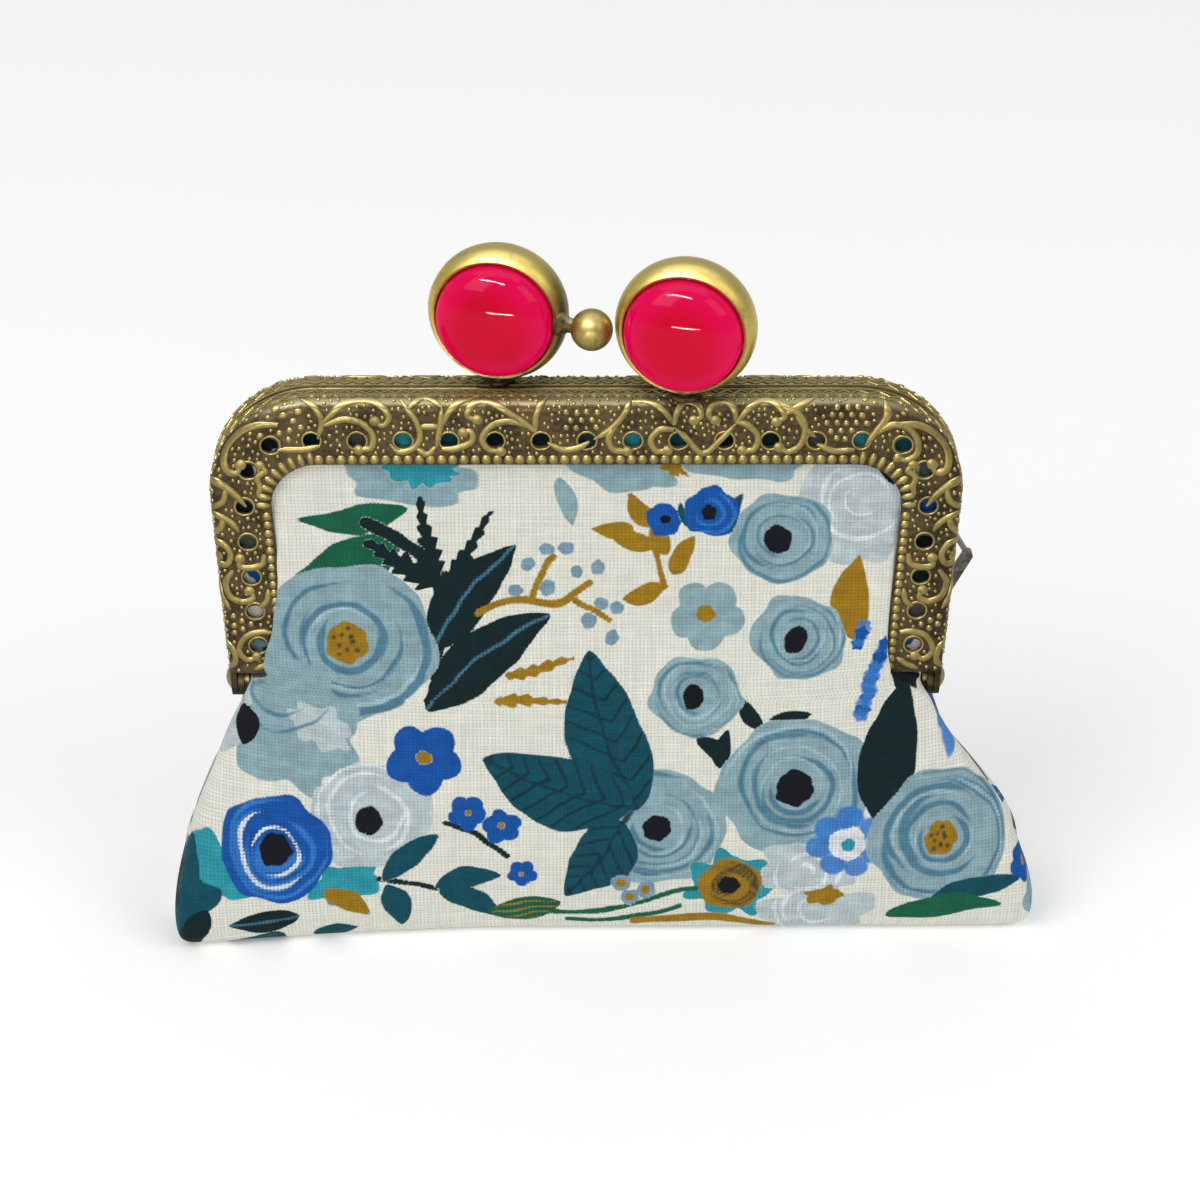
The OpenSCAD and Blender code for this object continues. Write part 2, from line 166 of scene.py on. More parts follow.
def mix_colours(tree, factor, a, b, blend_type="MIX"):
    node = tree.nodes.new("ShaderNodeMix")
    node.data_type = "RGBA"
    node.blend_type = blend_type
    for socket, value in ((node.inputs[0], factor), (node.inputs[6], a), (node.inputs[7], b)):
        if isinstance(value, (int, float)):
            socket.default_value = value
        elif isinstance(value, tuple):
            socket.default_value = (value[0], value[1], value[2], 1)
        else:
            tree.links.new(value, socket)
    return node.outputs[2]


def step_between(tree, value, low, high, out_low=0.0, out_high=1.0):
    node = tree.nodes.new("ShaderNodeMapRange")
    node.interpolation_type = "SMOOTHSTEP"
    tree.links.new(value, node.inputs["Value"])
    node.inputs["From Min"].default_value = low
    node.inputs["From Max"].default_value = high
    node.inputs["To Min"].default_value = out_low
    node.inputs["To Max"].default_value = out_high
    return node.outputs["Result"]


def rough_up(tree, shader, height, distance, strength=1.0):
    """Fine relief on a finish, from a height, with its depth in metres."""
    bump = tree.nodes.new("ShaderNodeBump")
    bump.inputs["Strength"].default_value = strength
    bump.inputs["Distance"].default_value = distance
    tree.links.new(height, bump.inputs["Height"])
    tree.links.new(bump.outputs["Normal"], shader.inputs["Normal"])
    return bump.outputs["Normal"]


def aged_brass_group():
    """Patina in the hollows and rubbed brass: a colour, a roughness and a fine grain height."""
    group, start, end = new_group(
        "aged_brass",
        [("Dark", "NodeSocketColor", (0.05, 0.035, 0.015, 1)),
         ("Bright", "NodeSocketColor", (0.45, 0.33, 0.08, 1)),
         ("Rub", "NodeSocketFloat", 0.5)],
        [("Color", "NodeSocketColor"), ("Roughness", "NodeSocketFloat"), ("Grain", "NodeSocketFloat")],
    )
    place = group.nodes.new("ShaderNodeTexCoord").outputs["Object"]
    broad = noise(group, place, 260, 3.0)
    fine = noise(group, place, 1900, 4.0, 0.65)
    both = sum_of(group, "MULTIPLY_ADD", fine, 0.45, sum_of(group, "MULTIPLY", broad, 0.55))
    shifted = sum_of(group, "ADD", both, sum_of(group, "SUBTRACT", start.outputs["Rub"], 0.5))
    rubbed = step_between(group, shifted, 0.30, 0.66)
    colour = mix_colours(group, rubbed, start.outputs["Dark"], start.outputs["Bright"])
    group.links.new(colour, end.inputs["Color"])
    rough = sum_of(group, "MULTIPLY_ADD", rubbed, -0.17, 0.52)
    group.links.new(sum_of(group, "MULTIPLY_ADD", fine, 0.08, rough), end.inputs["Roughness"])
    group.links.new(both, end.inputs["Grain"])
    return group


aged_brass = aged_brass_group()


def brass_finish(name, dark, bright, rub, grain=0.00002, metallic=0.92, top_light_amount=0.45):
    material, tree, shader = new_finish(name)
    brass = tree.nodes.new("ShaderNodeGroup")
    brass.node_tree = aged_brass
    brass.inputs["Dark"].default_value = (*dark, 1)
    brass.inputs["Bright"].default_value = (*bright, 1)
    brass.inputs["Rub"].default_value = rub
    rough_up(tree, shader, brass.outputs["Grain"], grain, 0.6)
    # painted light: the upward faces are painted paler, standing in for the light from above
    facing = tree.nodes.new("ShaderNodeTexCoord").outputs["Normal"]
    up = tree.nodes.new("ShaderNodeSeparateXYZ")
    tree.links.new(facing, up.inputs[0])
    painted_top_light = step_between(tree, up.outputs["Z"], 0.55, 1.0, 0.0, top_light_amount)
    colour = mix_colours(tree, painted_top_light, brass.outputs["Color"], (0.46, 0.43, 0.25))
    tree.links.new(colour, shader.inputs["Base Color"])
    tree.links.new(brass.outputs["Roughness"], shader.inputs["Roughness"])
    shader.inputs["Metallic"].default_value = metallic
    return material


hollow_brass = brass_finish("hollow_brass", (0.018, 0.013, 0.007), (0.10, 0.074, 0.035), 0.46)
raised_brass = brass_finish("raised_brass", (0.085, 0.066, 0.026), (0.26, 0.20, 0.066), 0.58)


def refinish(node_name, material):
    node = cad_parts[node_name]
    for slot in node.material_slots:
        slot.material = material
    return node


for half in ("front_frame", "rear_frame"):
    refinish(half, hollow_brass)
for rivet in ("hinge_rivet_left", "hinge_rivet_right"):
    refinish(rivet, raised_brass)


# ---------------------------------------------------------------- pressed pattern of the frame
# Scrolls, leaves, dots and a beaded rim are pressed up out of the sheet. Their places are given
# in mm: s along the frame from the middle of its top, w inward from where the face turns flat.
EDGE = 1.2
FACE = 3.65
CORNER_X = 30.5
CORNER_Z = 56.0
CORNER_R = 12.0
BEND_R = 8.0
LEAN = math.radians(2)
TURN = math.pi / 2 + LEAN
BEND_LEN = BEND_R * TURN
# the frame's inner edge: its bend's centre, the edge's own radius and the beads' radius
RIM_X = 30.15
RIM_Z = 54.7
RIM_R = 5.5
RIM_BEND_R = 6.05
RIM_BEND_LEN = RIM_BEND_R * TURN
# the raised shapes' feet are sunk a little into the sheet
FOOT_DEPTH = -0.08
PATTERN_END = 64


def on_frame(s, w, h):
    """Place in mm on the front half's outer face, with s along it, w inward and h outward."""
    side = np.where(s < 0, -1.0, 1.0)
    s = np.abs(s)
    round_angle = np.clip(-w / EDGE, 0, math.pi / 2)
    crown = np.clip(-w - EDGE * math.pi / 2, 0, 10)
    inset = np.where(w >= 0, EDGE + w, EDGE - (EDGE + h) * np.sin(round_angle))
    y = np.where(w >= 0, -FACE - h, -(FACE - EDGE) - (EDGE + h) * np.cos(round_angle) + crown)
    bend = np.clip((s - CORNER_X) / BEND_R, 0, TURN)
    angle = math.pi / 2 - bend
    radius = CORNER_R - inset
    x = np.minimum(s, CORNER_X) + radius * np.cos(angle)
    z = CORNER_Z + radius * np.sin(angle)
    down = np.clip(s - CORNER_X - BEND_LEN, 0, 100)
    x = x - down * math.sin(LEAN)
    z = z - down * math.cos(LEAN)
    return np.stack([side * x, y, z], axis=-1)


def on_rim(t, out, h):
    """Place in mm on the face, with t along the inner edge and out measured away from the opening."""
    side = np.where(t < 0, -1.0, 1.0)
    t = np.abs(t)
    angle = math.pi / 2 - np.clip((t - RIM_X) / RIM_BEND_R, 0, TURN)
    radius = RIM_R + out
    x = np.minimum(t, RIM_X) + radius * np.cos(angle)
    z = RIM_Z + radius * np.sin(angle)
    down = np.clip(t - RIM_X - RIM_BEND_LEN, 0, 100)
    x = x - down * math.sin(LEAN)
    z = z - down * math.cos(LEAN)
    return np.stack([side * x, np.full_like(x, -FACE) - h, z], axis=-1)


class Pressing:
    """Collects the closed raised shapes of one half before they become one mesh."""

    def __init__(self):
        self.points = []
        self.faces = []
        self.count = 0

    def add(self, points, faces):
        self.points.append(np.asarray(points))
        self.faces.extend([tuple(i + self.count for i in face) for face in faces])
        self.count += len(points)

    def ribbon(self, line, width, height, where, closed=False, taper=0.35):
        """A raised line with a rounded top, tapered at its ends."""
        line = np.asarray(line, float)
        n = len(line)
        ahead = np.roll(line, -1, 0) - np.roll(line, 1, 0)
        if not closed:
            ahead[0] = line[1] - line[0]
            ahead[-1] = line[-1] - line[-2]
        ahead /= np.linalg.norm(ahead, axis=1, keepdims=True) + 1e-9
        across = np.stack([-ahead[:, 1], ahead[:, 0]], axis=1)
        ramp = np.ones(n)
        if not closed:
            end = np.minimum(np.arange(n), np.arange(n)[::-1]) / max(1.0, 0.18 * n)
            ramp = taper + (1 - taper) * np.clip(end, 0, 1)
        section = [(-0.5, FOOT_DEPTH), (-0.44, 0.6 * height), (-0.30, height),
                   (0.30, height), (0.44, 0.6 * height), (0.5, FOOT_DEPTH)]
        rings = []
        for a, h in section:
            at = line + across * (a * width * ramp)[:, None]
            lift = np.full(n, h) if h < 0 else h * (0.55 + 0.45 * ramp)
            rings.append(where(at[:, 0], at[:, 1], lift))
        points = np.stack(rings, axis=1).reshape(-1, 3)
        faces = []
        m = len(section)
        for i in range(n if closed else n - 1):
            j = (i + 1) % n
            for k in range(m):
                q = (k + 1) % m
                faces.append((i * m + k, i * m + q, j * m + q, j * m + k))
        if not closed:
            faces.append(tuple(range(m))[::-1])
            faces.append(tuple((n - 1) * m + k for k in range(m)))
        self.add(points, faces)

    def stud(self, s, w, radius, height, where, stretch=(1.0, 1.0), sides=9):
        """A raised dot or bead with a domed top."""
        turn = np.arange(sides) * 2 * math.pi / sides
        rings = []
        for r, h in ((1.0, FOOT_DEPTH), (0.93, 0.5 * height), (0.62, 0.92 * height)):
            along = radius * r * np.cos(turn) * stretch[0]
            across = radius * r * np.sin(turn) * stretch[1]
            rings.append(where(s + along, w + across, np.full(sides, h)))
        top = where(np.array([s]), np.array([w]), np.array([height]))
        bottom = where(np.array([s]), np.array([w]), np.array([FOOT_DEPTH]))
        points = np.concatenate(rings + [top, bottom])
        faces = []
        for ring in range(2):
            for k in range(sides):
                q = (k + 1) % sides
                faces.append((ring * sides + k, ring * sides + q,
                              (ring + 1) * sides + q, (ring + 1) * sides + k))
        for k in range(sides):
            q = (k + 1) % sides
            faces.append((2 * sides + k, 2 * sides + q, 3 * sides))
            faces.append((q, k, 3 * sides + 1))
        self.add(points, faces)


def smooth_line(points, step=0.28):
    """A soft curve through given points."""
    points = np.asarray(points, float)
    padded = np.vstack([2 * points[0] - points[1], points, 2 * points[-1] - points[-2]])
    out = []
    for i in range(1, len(padded) - 2):
        a, b, c, d = padded[i - 1:i + 3]
        n = max(3, int(np.linalg.norm(c - b) / step))
        for k in range(n):
            t = k / n
            out.append(0.5 * (2 * b + (c - a) * t + (2 * a - 5 * b + 4 * c - d) * t * t
                              + (3 * b - a - 3 * c + d) * t ** 3))
    out.append(points[-1])
    return np.array(out)


# Open strokes end plain; curled strokes end in a ball.
OPEN_STROKES = [
    [(-20.7, -1.4), (-19.1, 0.9), (-18.6, 3.0), (-19.4, 4.5), (-21.0, 5.0), (-22.0, 3.9)],
    [(-16.1, -0.6), (-16.3, 1.5), (-16.8, 4.4)], [(-18.6, 1.8), (-16.4, 1.8)],
    [(-19.1, 4.4), (-17.9, 5.3), (-16.9, 4.3)], [(-19.9, -0.4), (-18.0, -1.8), (-16.1, -0.6)],
    [(-16.2, 1.8), (-15.3, -0.1), (-13.9, -1.3), (-12.4, -1.8)],
    [(-5.7, 2.4), (-5.7, 0.6), (-5.2, -0.8), (-4.4, -1.8)],
    [(-4.4, 3.8), (-2.7, 4.7), (-1.0, 4.5), (0.3, 3.7)], [(0.8, 3.4), (2.3, 2.4), (3.9, 0.6), (5.0, -1.6)],
    [(4.9, -1.2), (6.6, -1.3), (8.5, -0.2), (9.7, 1.6)],
    [(9.7, 1.9), (11.2, 3.4), (13.0, 5.2), (14.8, 3.6), (16.6, 1.4)],
    [(23.2, 0.1), (24.3, 2.0), (25.5, 3.1)], [(25.7, 4.0), (27.7, 4.9), (30.0, 4.7)],
    [(32.3, -1.6), (32.7, 0.3), (32.1, 2.4), (31.3, 4.2)], [(21.8, 0.4), (23.4, -0.6), (25.3, -1.7)],
    [(-31.3, -1.6), (-30.0, -0.3), (-29.5, 1.3), (-30.0, 3.3)],
    [(-35.2, 3.5), (-33.6, 4.2), (-31.6, 4.6), (-29.8, 4.2)],
]
CURLED_STROKES = [
    [(-16.2, 4.6), (-14.7, 4.6), (-12.9, 3.7), (-12.9, 2.4), (-13.8, 2.5)],
    [(-5.7, 2.4), (-7.7, 0.8), (-10.2, -0.9), (-11.8, -1.3), (-13.0, -0.6), (-13.3, 0.5), (-12.2, 0.9)],
    [(-5.7, 2.2), (-7.3, 1.4), (-9.3, 1.2), (-11.0, 2.0), (-11.7, 3.4), (-10.9, 4.7), (-9.6, 4.9)],
    [(3.2, 1.7), (2.4, 3.2), (3.0, 4.7), (4.5, 4.9)],
    [(9.7, 2.2), (8.1, 2.2), (7.1, 3.5), (7.8, 4.9), (9.0, 4.8)],
    [(9.7, 1.5), (10.0, 0.0), (10.9, -1.2), (12.3, -0.8), (12.7, 0.5), (11.9, 1.0)],
    [(16.6, 1.2), (16.3, -0.4), (15.2, -1.3), (13.9, -0.8), (13.5, 0.4), (14.3, 1.0)],
    [(16.6, 1.2), (18.0, 1.7), (19.1, 3.1), (18.6, 4.7), (17.4, 4.8)],
    [(16.7, 1.3), (18.0, -0.5), (19.7, -1.4), (21.2, -0.8), (22.0, 0.5), (21.1, 1.2)],
    [(20.9, -1.2), (23.5, 0.2), (24.3, 1.9), (23.9, 4.0), (22.6, 5.0), (21.5, 4.4)],
    [(-29.4, 1.3), (-27.1, -0.9), (-24.6, -1.4), (-22.7, -0.6), (-22.0, 0.7), (-22.8, 1.7), (-23.6, 1.1)],
    [(-29.2, 1.6), (-27.1, 0.9), (-25.2, 1.3), (-23.9, 2.7), (-24.1, 4.4), (-25.5, 4.7)],
]
# The corners and legs carry the same strokes on both sides of the frame.
SIDE_STROKES = [
    [(41.6, -1.7), (41.8, 0.1), (42.8, 1.8), (44.2, 2.8)], [(41.9, 0.6), (43.4, 0.3), (44.6, -1.6)],
    [(44.9, -1.6), (45.6, 0.2), (46.6, 1.3), (47.4, 1.7)], [(45.4, 0.1), (46.8, -0.3), (48.0, -1.7)],
    [(54.0, -1.7), (55.8, -1.3), (57.6, -0.2)], [(55.0, 4.4), (56.6, 4.1), (57.4, 3.2)],
    [(62.0, -1.7), (63.0, -0.4), (64.8, -0.3), (65.8, -1.6)], [(64.4, 4.4), (65.3, 3.2), (65.8, 1.8)],
]
SIDE_CURLS = [
    [(32.3, 2.4), (33.7, 0.8), (35.6, 0.7), (37.3, 2.1), (37.3, 3.6), (36.2, 4.2)],
    [(33.7, 0.8), (36.0, -0.6), (38.6, -0.8), (40.3, 0.3), (40.3, 1.5), (39.3, 1.5)],
    [(42.6, 4.3), (41.2, 4.4), (40.0, 3.8), (38.6, 4.3), (38.3, 3.4)],
    [(48.6, -1.7), (49.0, -0.2), (50.3, 0.5), (51.6, 0.0), (51.5, -1.0), (50.7, -1.0)],
    [(50.4, 4.3), (51.7, 4.0), (52.2, 2.6), (51.9, 1.4), (50.9, 1.5)],
    [(52.4, 0.6), (54.0, -0.4), (55.9, 0.0), (56.7, 1.4), (56.1, 2.6), (55.2, 2.2)],
    [(61.0, 4.3), (60.8, 3.0), (61.4, 1.2), (63.2, 0.3), (64.5, 1.2), (64.1, 2.3)],
]
for side in (-1, 1):
    OPEN_STROKES += [[(side * s, w) for s, w in stroke] for stroke in SIDE_STROKES]
    CURLED_STROKES += [[(side * s, w) for s, w in stroke] for stroke in SIDE_CURLS
                       if side > 0 or stroke[0][0] > 32.5]
HOLES = [(5.13 * k, 3.6) for k in range(-6, 7)]
for leg_s in (35.55, 39.6, 44.2, 48.8, 53.4, 58.0, 62.6):
    HOLES += [(leg_s, 2.6), (-leg_s, 2.6)]
BIG_DOT_FIELDS = [(-0.6, 1.0, 2.1), (28.9, 1.4, 2.6), (-33.4, 0.9, 2.3), (59.2, 1.0, 2.0), (-59.2, 1.0, 2.0)]


def press_pattern():
    pressing = Pressing()
    taken = []
    for stroke in OPEN_STROKES:
        line = smooth_line(stroke)
        pressing.ribbon(line, 0.80, 0.19, on_frame)
        taken.append(line)
    for stroke in CURLED_STROKES:
        line = smooth_line(stroke)
        pressing.ribbon(line, 0.84, 0.20, on_frame, taper=0.7)
        pressing.stud(line[-1, 0], line[-1, 1], 0.66, 0.23, on_frame, sides=12)
        taken.append(line)
    turn = np.arange(20) * 2 * math.pi / 20
    for s, w in HOLES:
        ring = np.stack([s + 1.12 * np.cos(turn), w + 1.12 * np.sin(turn)], axis=1)
        pressing.ribbon(ring, 0.26, 0.07, on_frame, closed=True)
    taken = np.concatenate(taken)
    holes = np.array(HOLES)
    dice = np.random.RandomState(11)
    dots = []

    def try_dot(s, w, radius):
        spot = np.array([s, w])
        if np.min(np.linalg.norm(taken - spot, axis=1)) < 0.42 + radius:
            return
        if np.min(np.linalg.norm(holes - spot, axis=1)) < 1.22 + radius:
            return
        for other_s, other_w, other_r in dots:
            if math.hypot(s - other_s, w - other_w) < radius + other_r + 0.12:
                return
        dots.append((s, w, radius))

    # patches of larger dots in rows, then small dots wherever there is room
    for s0, w0, reach in BIG_DOT_FIELDS:
        for row in range(-4, 5):
            for column in range(-4, 5):
                s = s0 + 1.12 * (column + 0.5 * (row % 2)) + dice.uniform(-0.1, 0.1)
                w = w0 + 0.98 * row + dice.uniform(-0.1, 0.1)
                if math.hypot(s - s0, (w - w0) * 1.05) < reach and -1.3 < w < 4.6:
                    try_dot(s, w, 0.40)
    for _ in range(5200):
        s = dice.uniform(-66, 66)
        floor_w = 5.2 if abs(s) < 31 else 4.3
        try_dot(s, dice.uniform(-1.6, floor_w), dice.uniform(0.20, 0.27))
    for s, w, radius in dots:
        pressing.stud(s, w, radius, 0.16 if radius < 0.3 else 0.20, on_frame)

    # beads along the inner rim: on the top, round the bends, and down the legs
    for k in range(-24, 25):
        pressing.stud(k * 1.25, 0.62, 0.60, 0.24, on_rim, sides=10)
    for side in (-1, 1):
        for k in range(9):
            t = side * (RIM_X + 0.75 + k * 1.06)
            pressing.stud(t, 0.86, 0.44, 0.24, on_rim, stretch=(0.92, 2.0), sides=10)
        for k in range(19):
            t = side * (RIM_X + RIM_BEND_LEN + 0.9 + k * 1.12)
            pressing.stud(t, 0.58, 0.53, 0.24, on_rim, sides=10)

    # a zigzag and scallops between two lines, round the outer wall
    crown_start = EDGE * math.pi / 2
    for side in (-1, 1):
        reach = np.arange(0, PATTERN_END, 0.82)
        up_down = 0.34 * (np.arange(len(reach)) % 2 * 2 - 1)
        zigzag = np.stack([side * reach, -(crown_start + 1.28 + up_down)], axis=1)
        for a, b in zip(zigzag[:-1], zigzag[1:]):
            line = np.linspace(a, b, 3)
            pressing.ribbon(line, 0.26, 0.14, on_frame, taper=1.0)
        for k in range(int(PATTERN_END / 1.3)):
            middle = side * (0.65 + 1.3 * k)
            arc = np.linspace(0, math.pi, 7)
            deep = -(crown_start - 0.05 + 0.50 * np.sin(arc))
            scallop = np.stack([middle + 0.60 * np.cos(arc), deep], axis=1)
            pressing.ribbon(scallop, 0.24, 0.14, on_frame, taper=1.0)
        along = np.arange(0, PATTERN_END, 0.9)
        for w in (-(crown_start + 0.72), -(crown_start + 1.90)):
            line = np.stack([side * along, np.full(len(along), w)], axis=1)
            pressing.ribbon(line, 0.20, 0.12, on_frame, taper=1.0)
    return pressing


pattern = press_pattern()


def pattern_piece(name, body, front):
    points = np.concatenate(pattern.points) / 1000.0
    if not front:
        points = points * np.array([1.0, -1.0, 1.0])
    mesh = bpy.data.meshes.new(name)
    mesh.from_pydata(points.tolist(), [], pattern.faces)
    mesh.materials.append(raised_brass)
    piece = bpy.data.objects.new(name, mesh)
    bpy.context.scene.collection.objects.link(piece)
    select_only(piece)
    bpy.ops.object.mode_set(mode="EDIT")
    bpy.ops.mesh.select_all(action="SELECT")
    bpy.ops.mesh.normals_make_consistent(inside=False)
    bpy.ops.object.mode_set(mode="OBJECT")
    bpy.ops.object.shade_smooth_by_angle(angle=math.radians(50))
    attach(piece, body)
    return piece


pattern_piece("front_pattern", "front_half", True)
pattern_piece("rear_pattern", "rear_half", False)


# ---------------------------------------------------------------- bead heads
# Each head is a cast brass cup with a rolled rim round a glossy pink resin cabochon. The cups
# stand on short posts, and are turned a little to the left.
def turn_rings(name, rings, sides, material):
    """A turned piece: a circle is extruded and resized up its axis, ring by ring (radius, height)."""
    deselect_everything()
    radius, height = rings[0]
    bpy.ops.mesh.primitive_circle_add(vertices=sides, radius=radius / 1000, location=(0, 0, height / 1000))
    piece = bpy.context.object
    piece.name = name
    piece.data.name = name
    bpy.ops.object.transform_apply(location=True, rotation=True, scale=True)
    bpy.ops.object.mode_set(mode="EDIT")
    bpy.ops.mesh.select_all(action="SELECT")
    for next_radius, next_height in rings[1:]:
        bpy.ops.mesh.extrude_region_move(
            TRANSFORM_OT_translate={"value": (0, 0, (next_height - height) / 1000)})
        ratio = next_radius / radius
        bpy.ops.transform.resize(value=(ratio, ratio, 1), center_override=(0, 0, next_height / 1000))
        radius, height = next_radius, next_height
    bpy.ops.mesh.merge(type="CENTER")
    bpy.ops.mesh.select_all(action="DESELECT")
    bpy.ops.mesh.select_mode(type="VERT")
    bpy.ops.mesh.select_non_manifold()
    bpy.ops.mesh.edge_face_add()
    bpy.ops.mesh.poke()
    bpy.ops.mesh.select_all(action="SELECT")
    bpy.ops.mesh.normals_make_consistent(inside=False)
    bpy.ops.object.mode_set(mode="OBJECT")
    piece.data.materials.append(material)
    return piece


def stand_up(piece, place, yaw):
    """Turns a piece made along +Z to face the front, and puts it in its place in mm."""
    select_only(piece)
    piece.rotation_euler = (math.radians(90), 0, math.radians(yaw))
    piece.location = tuple(v / 1000 for v in place)
    bpy.ops.object.transform_apply(location=True, rotation=True, scale=True)
    bpy.ops.object.shade_smooth_by_angle(angle=math.radians(38))


HEAD_Z = 76.5
HEAD_YAW = -11
STONE_R = 6.5
cup_rings = [(0.6, -6.2)]
for step in range(1, 15):
    a = math.pi / 2 * step / 14
    cup_rings.append((max(0.6, 7.9 * math.sin(a)), -6.2 * math.cos(a)))
for step in range(1, 7):
    a = math.pi / 2 * step / 9
    if 5.9 + 2.0 * math.cos(a) >= 6.9:
        cup_rings.append((5.9 + 2.0 * math.cos(a), 0.3 + 2.3 * math.sin(a)))
cup_rings += [(7.05, 2.55), (6.80, 2.45), (6.66, 2.2), (6.64, 1.6), (6.60, 1.22), (3.0, 1.22)]


def cup_finish():
    """Satin brass, with painted shade blotched by noise low on the cup towards the post, and on its edge
    beside the neck.
    """
    material = brass_finish("cup_brass", (0.14, 0.105, 0.026), (0.52, 0.405, 0.105), 0.62,
                            grain=0.000012, top_light_amount=0.2)
    tree = material.node_tree
    shader = tree.nodes["Principled BSDF"]
    satin = shader.inputs["Base Color"].links[0].from_socket
    place = tree.nodes.new("ShaderNodeTexCoord").outputs["Object"]
    axes = tree.nodes.new("ShaderNodeSeparateXYZ")
    tree.links.new(place, axes.inputs[0])
    # painted shade low on the cup, towards the post, blotched by noise
    low = step_between(tree, axes.outputs["Z"], 0.0742, 0.0680)
    blot = noise(tree, place, 420, 3.0)
    painted_low_shade = sum_of(tree, "MULTIPLY", low, step_between(tree, blot, 0.25, 0.6), clamp=True)
    # painted shade on the cup's edge beside the neck
    near = sum_of(tree, "ABSOLUTE", sum_of(tree, "SUBTRACT", axes.outputs["X"], -0.0019))
    neck = sum_of(tree, "MULTIPLY", step_between(tree, near, 0.0034, 0.0006),
                  step_between(tree, axes.outputs["Y"], 0.0035, -0.0005))
    dark = sum_of(tree, "MAXIMUM", painted_low_shade, sum_of(tree, "MULTIPLY", neck, 0.85))
    # the dark colour mixed in here is the painted shade
    colour = mix_colours(tree, dark, satin, (0.035, 0.025, 0.012))
    tree.links.new(colour, shader.inputs["Base Color"])
    return material


cup_brass = cup_finish()


def resin_finish():
    """Clear glossy coat over opaque pink resin, with a painted reflection: deeper in colour at the middle,
    paler and pinker towards the rim.
    """
    material, tree, shader = new_finish("pink_resin_finish")
    place = tree.nodes.new("ShaderNodeTexCoord").outputs["Object"]
    cloud = noise(tree, place, 90, 2.0)
    cloudy = step_between(tree, cloud, 0.3, 0.7)
    middle = mix_colours(tree, cloudy, (0.66, 0.0006, 0.030), (0.56, 0.0005, 0.016))
    # painted reflection: the colour turns paler and pinker towards the rim and stays deeper at the middle
    rim = tree.nodes.new("ShaderNodeAttribute")
    rim.attribute_name = "rim"
    painted_rim_light = step_between(tree, rim.outputs["Fac"], 0.45, 1.0)
    colour = mix_colours(tree, painted_rim_light, middle, (0.80, 0.0006, 0.085))
    tree.links.new(colour, shader.inputs["Base Color"])
    shader.inputs["Roughness"].default_value = 0.5
    shader.inputs["Coat Weight"].default_value = 0.22
    shader.inputs["Coat Roughness"].default_value = 0.012
    shader.inputs["Specular IOR Level"].default_value = 0.0
    ripple = noise(tree, place, 160, 1.0)
    tree.links.new(rough_up(tree, shader, ripple, 0.00006, 0.25), shader.inputs["Coat Normal"])
    return material


pink_resin = resin_finish()
stone_rings = [(1.0, 1.27), (6.55, 1.27), (6.57, 2.0), (6.55, 2.45), (STONE_R, 2.72)]
for step in range(1, 18):
    a = math.pi / 2 * step / 18
    stone_rings.append((STONE_R * math.cos(a), 2.72 + 3.25 * math.sin(a)))
stone_rings.append((0.3, 5.97))

for head, x, y in (("front", 10.9, -1.9), ("rear", -9.8, 1.9)):
    cup = turn_rings(head + "_cup", cup_rings, 72, cup_brass)
    stand_up(cup, (x, y, HEAD_Z), HEAD_YAW)
    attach(cup, head + "_half")
    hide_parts(head + "_head_cup")
    stone = turn_rings(head + "_stone", stone_rings, 72, pink_resin)
    # the distance from the axis drives the painted reflection in the resin finish
    rim = stone.data.attributes.new("rim", "FLOAT", "POINT")
    for vertex, mark in zip(stone.data.vertices, rim.data):
        mark.value = math.hypot(vertex.co.x, vertex.co.y) / (STONE_R / 1000)
    stand_up(stone, (x, y, HEAD_Z), HEAD_YAW)
    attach(stone, head + "_half")
    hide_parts(head + "_cabochon")

post_brass = brass_finish("post_brass", (0.02, 0.014, 0.006), (0.20, 0.145, 0.045), 0.42)
for post in ("front_head_post", "rear_head_post"):
    refinish(post, post_brass)


# ---------------------------------------------------------------- lock ball
# A small turned ball on a dark neck grows out of the rear head, and snaps past the front one.
BALL_R = 2.35
ball_rings = []
for step in range(1, 20):
    a = math.pi * step / 20
    ball_rings.append((BALL_R * math.sin(a), -BALL_R * math.cos(a)))
deselect_everything()
ball_brass = brass_finish("ball_brass", (0.10, 0.075, 0.024), (0.33, 0.255, 0.08), 0.58,
                          grain=0.000010, top_light_amount=0.1)
lock_ball = turn_rings("ball", ball_rings, 40, ball_brass)
stand_up(lock_ball, (0.5, -2.2, 76.2), 0)
neck_rings = [(0.35, 0.0), (1.35, 0.0), (1.45, 0.5), (1.15, 1.0),
              (0.85, 1.5), (0.80, 2.4), (0.95, 3.0), (0.95, 4.2)]
neck = turn_rings("neck", neck_rings, 24, post_brass)
neck_from = Vector((-3.4, -0.75, 76.4))
neck_to = Vector((0.3, -2.15, 76.2))
select_only(neck)
neck.rotation_mode = "QUATERNION"
neck.rotation_quaternion = (neck_to - neck_from).to_track_quat("Z", "Y")
neck.location = neck_from / 1000
bpy.ops.object.transform_apply(location=True, rotation=True, scale=True)
bpy.ops.object.shade_smooth_by_angle(angle=math.radians(38))
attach(lock_ball, "rear_half")
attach(neck, "rear_half")
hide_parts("lock_ball")


# ---------------------------------------------------------------- strap lug
# A bent strip on the rear half's right wall, thin above and broad below, takes a wrist strap.
loop_steel = brass_finish("lug_metal", (0.03, 0.028, 0.025), (0.22, 0.20, 0.17), 0.50)
refinish("side_loop", loop_steel)


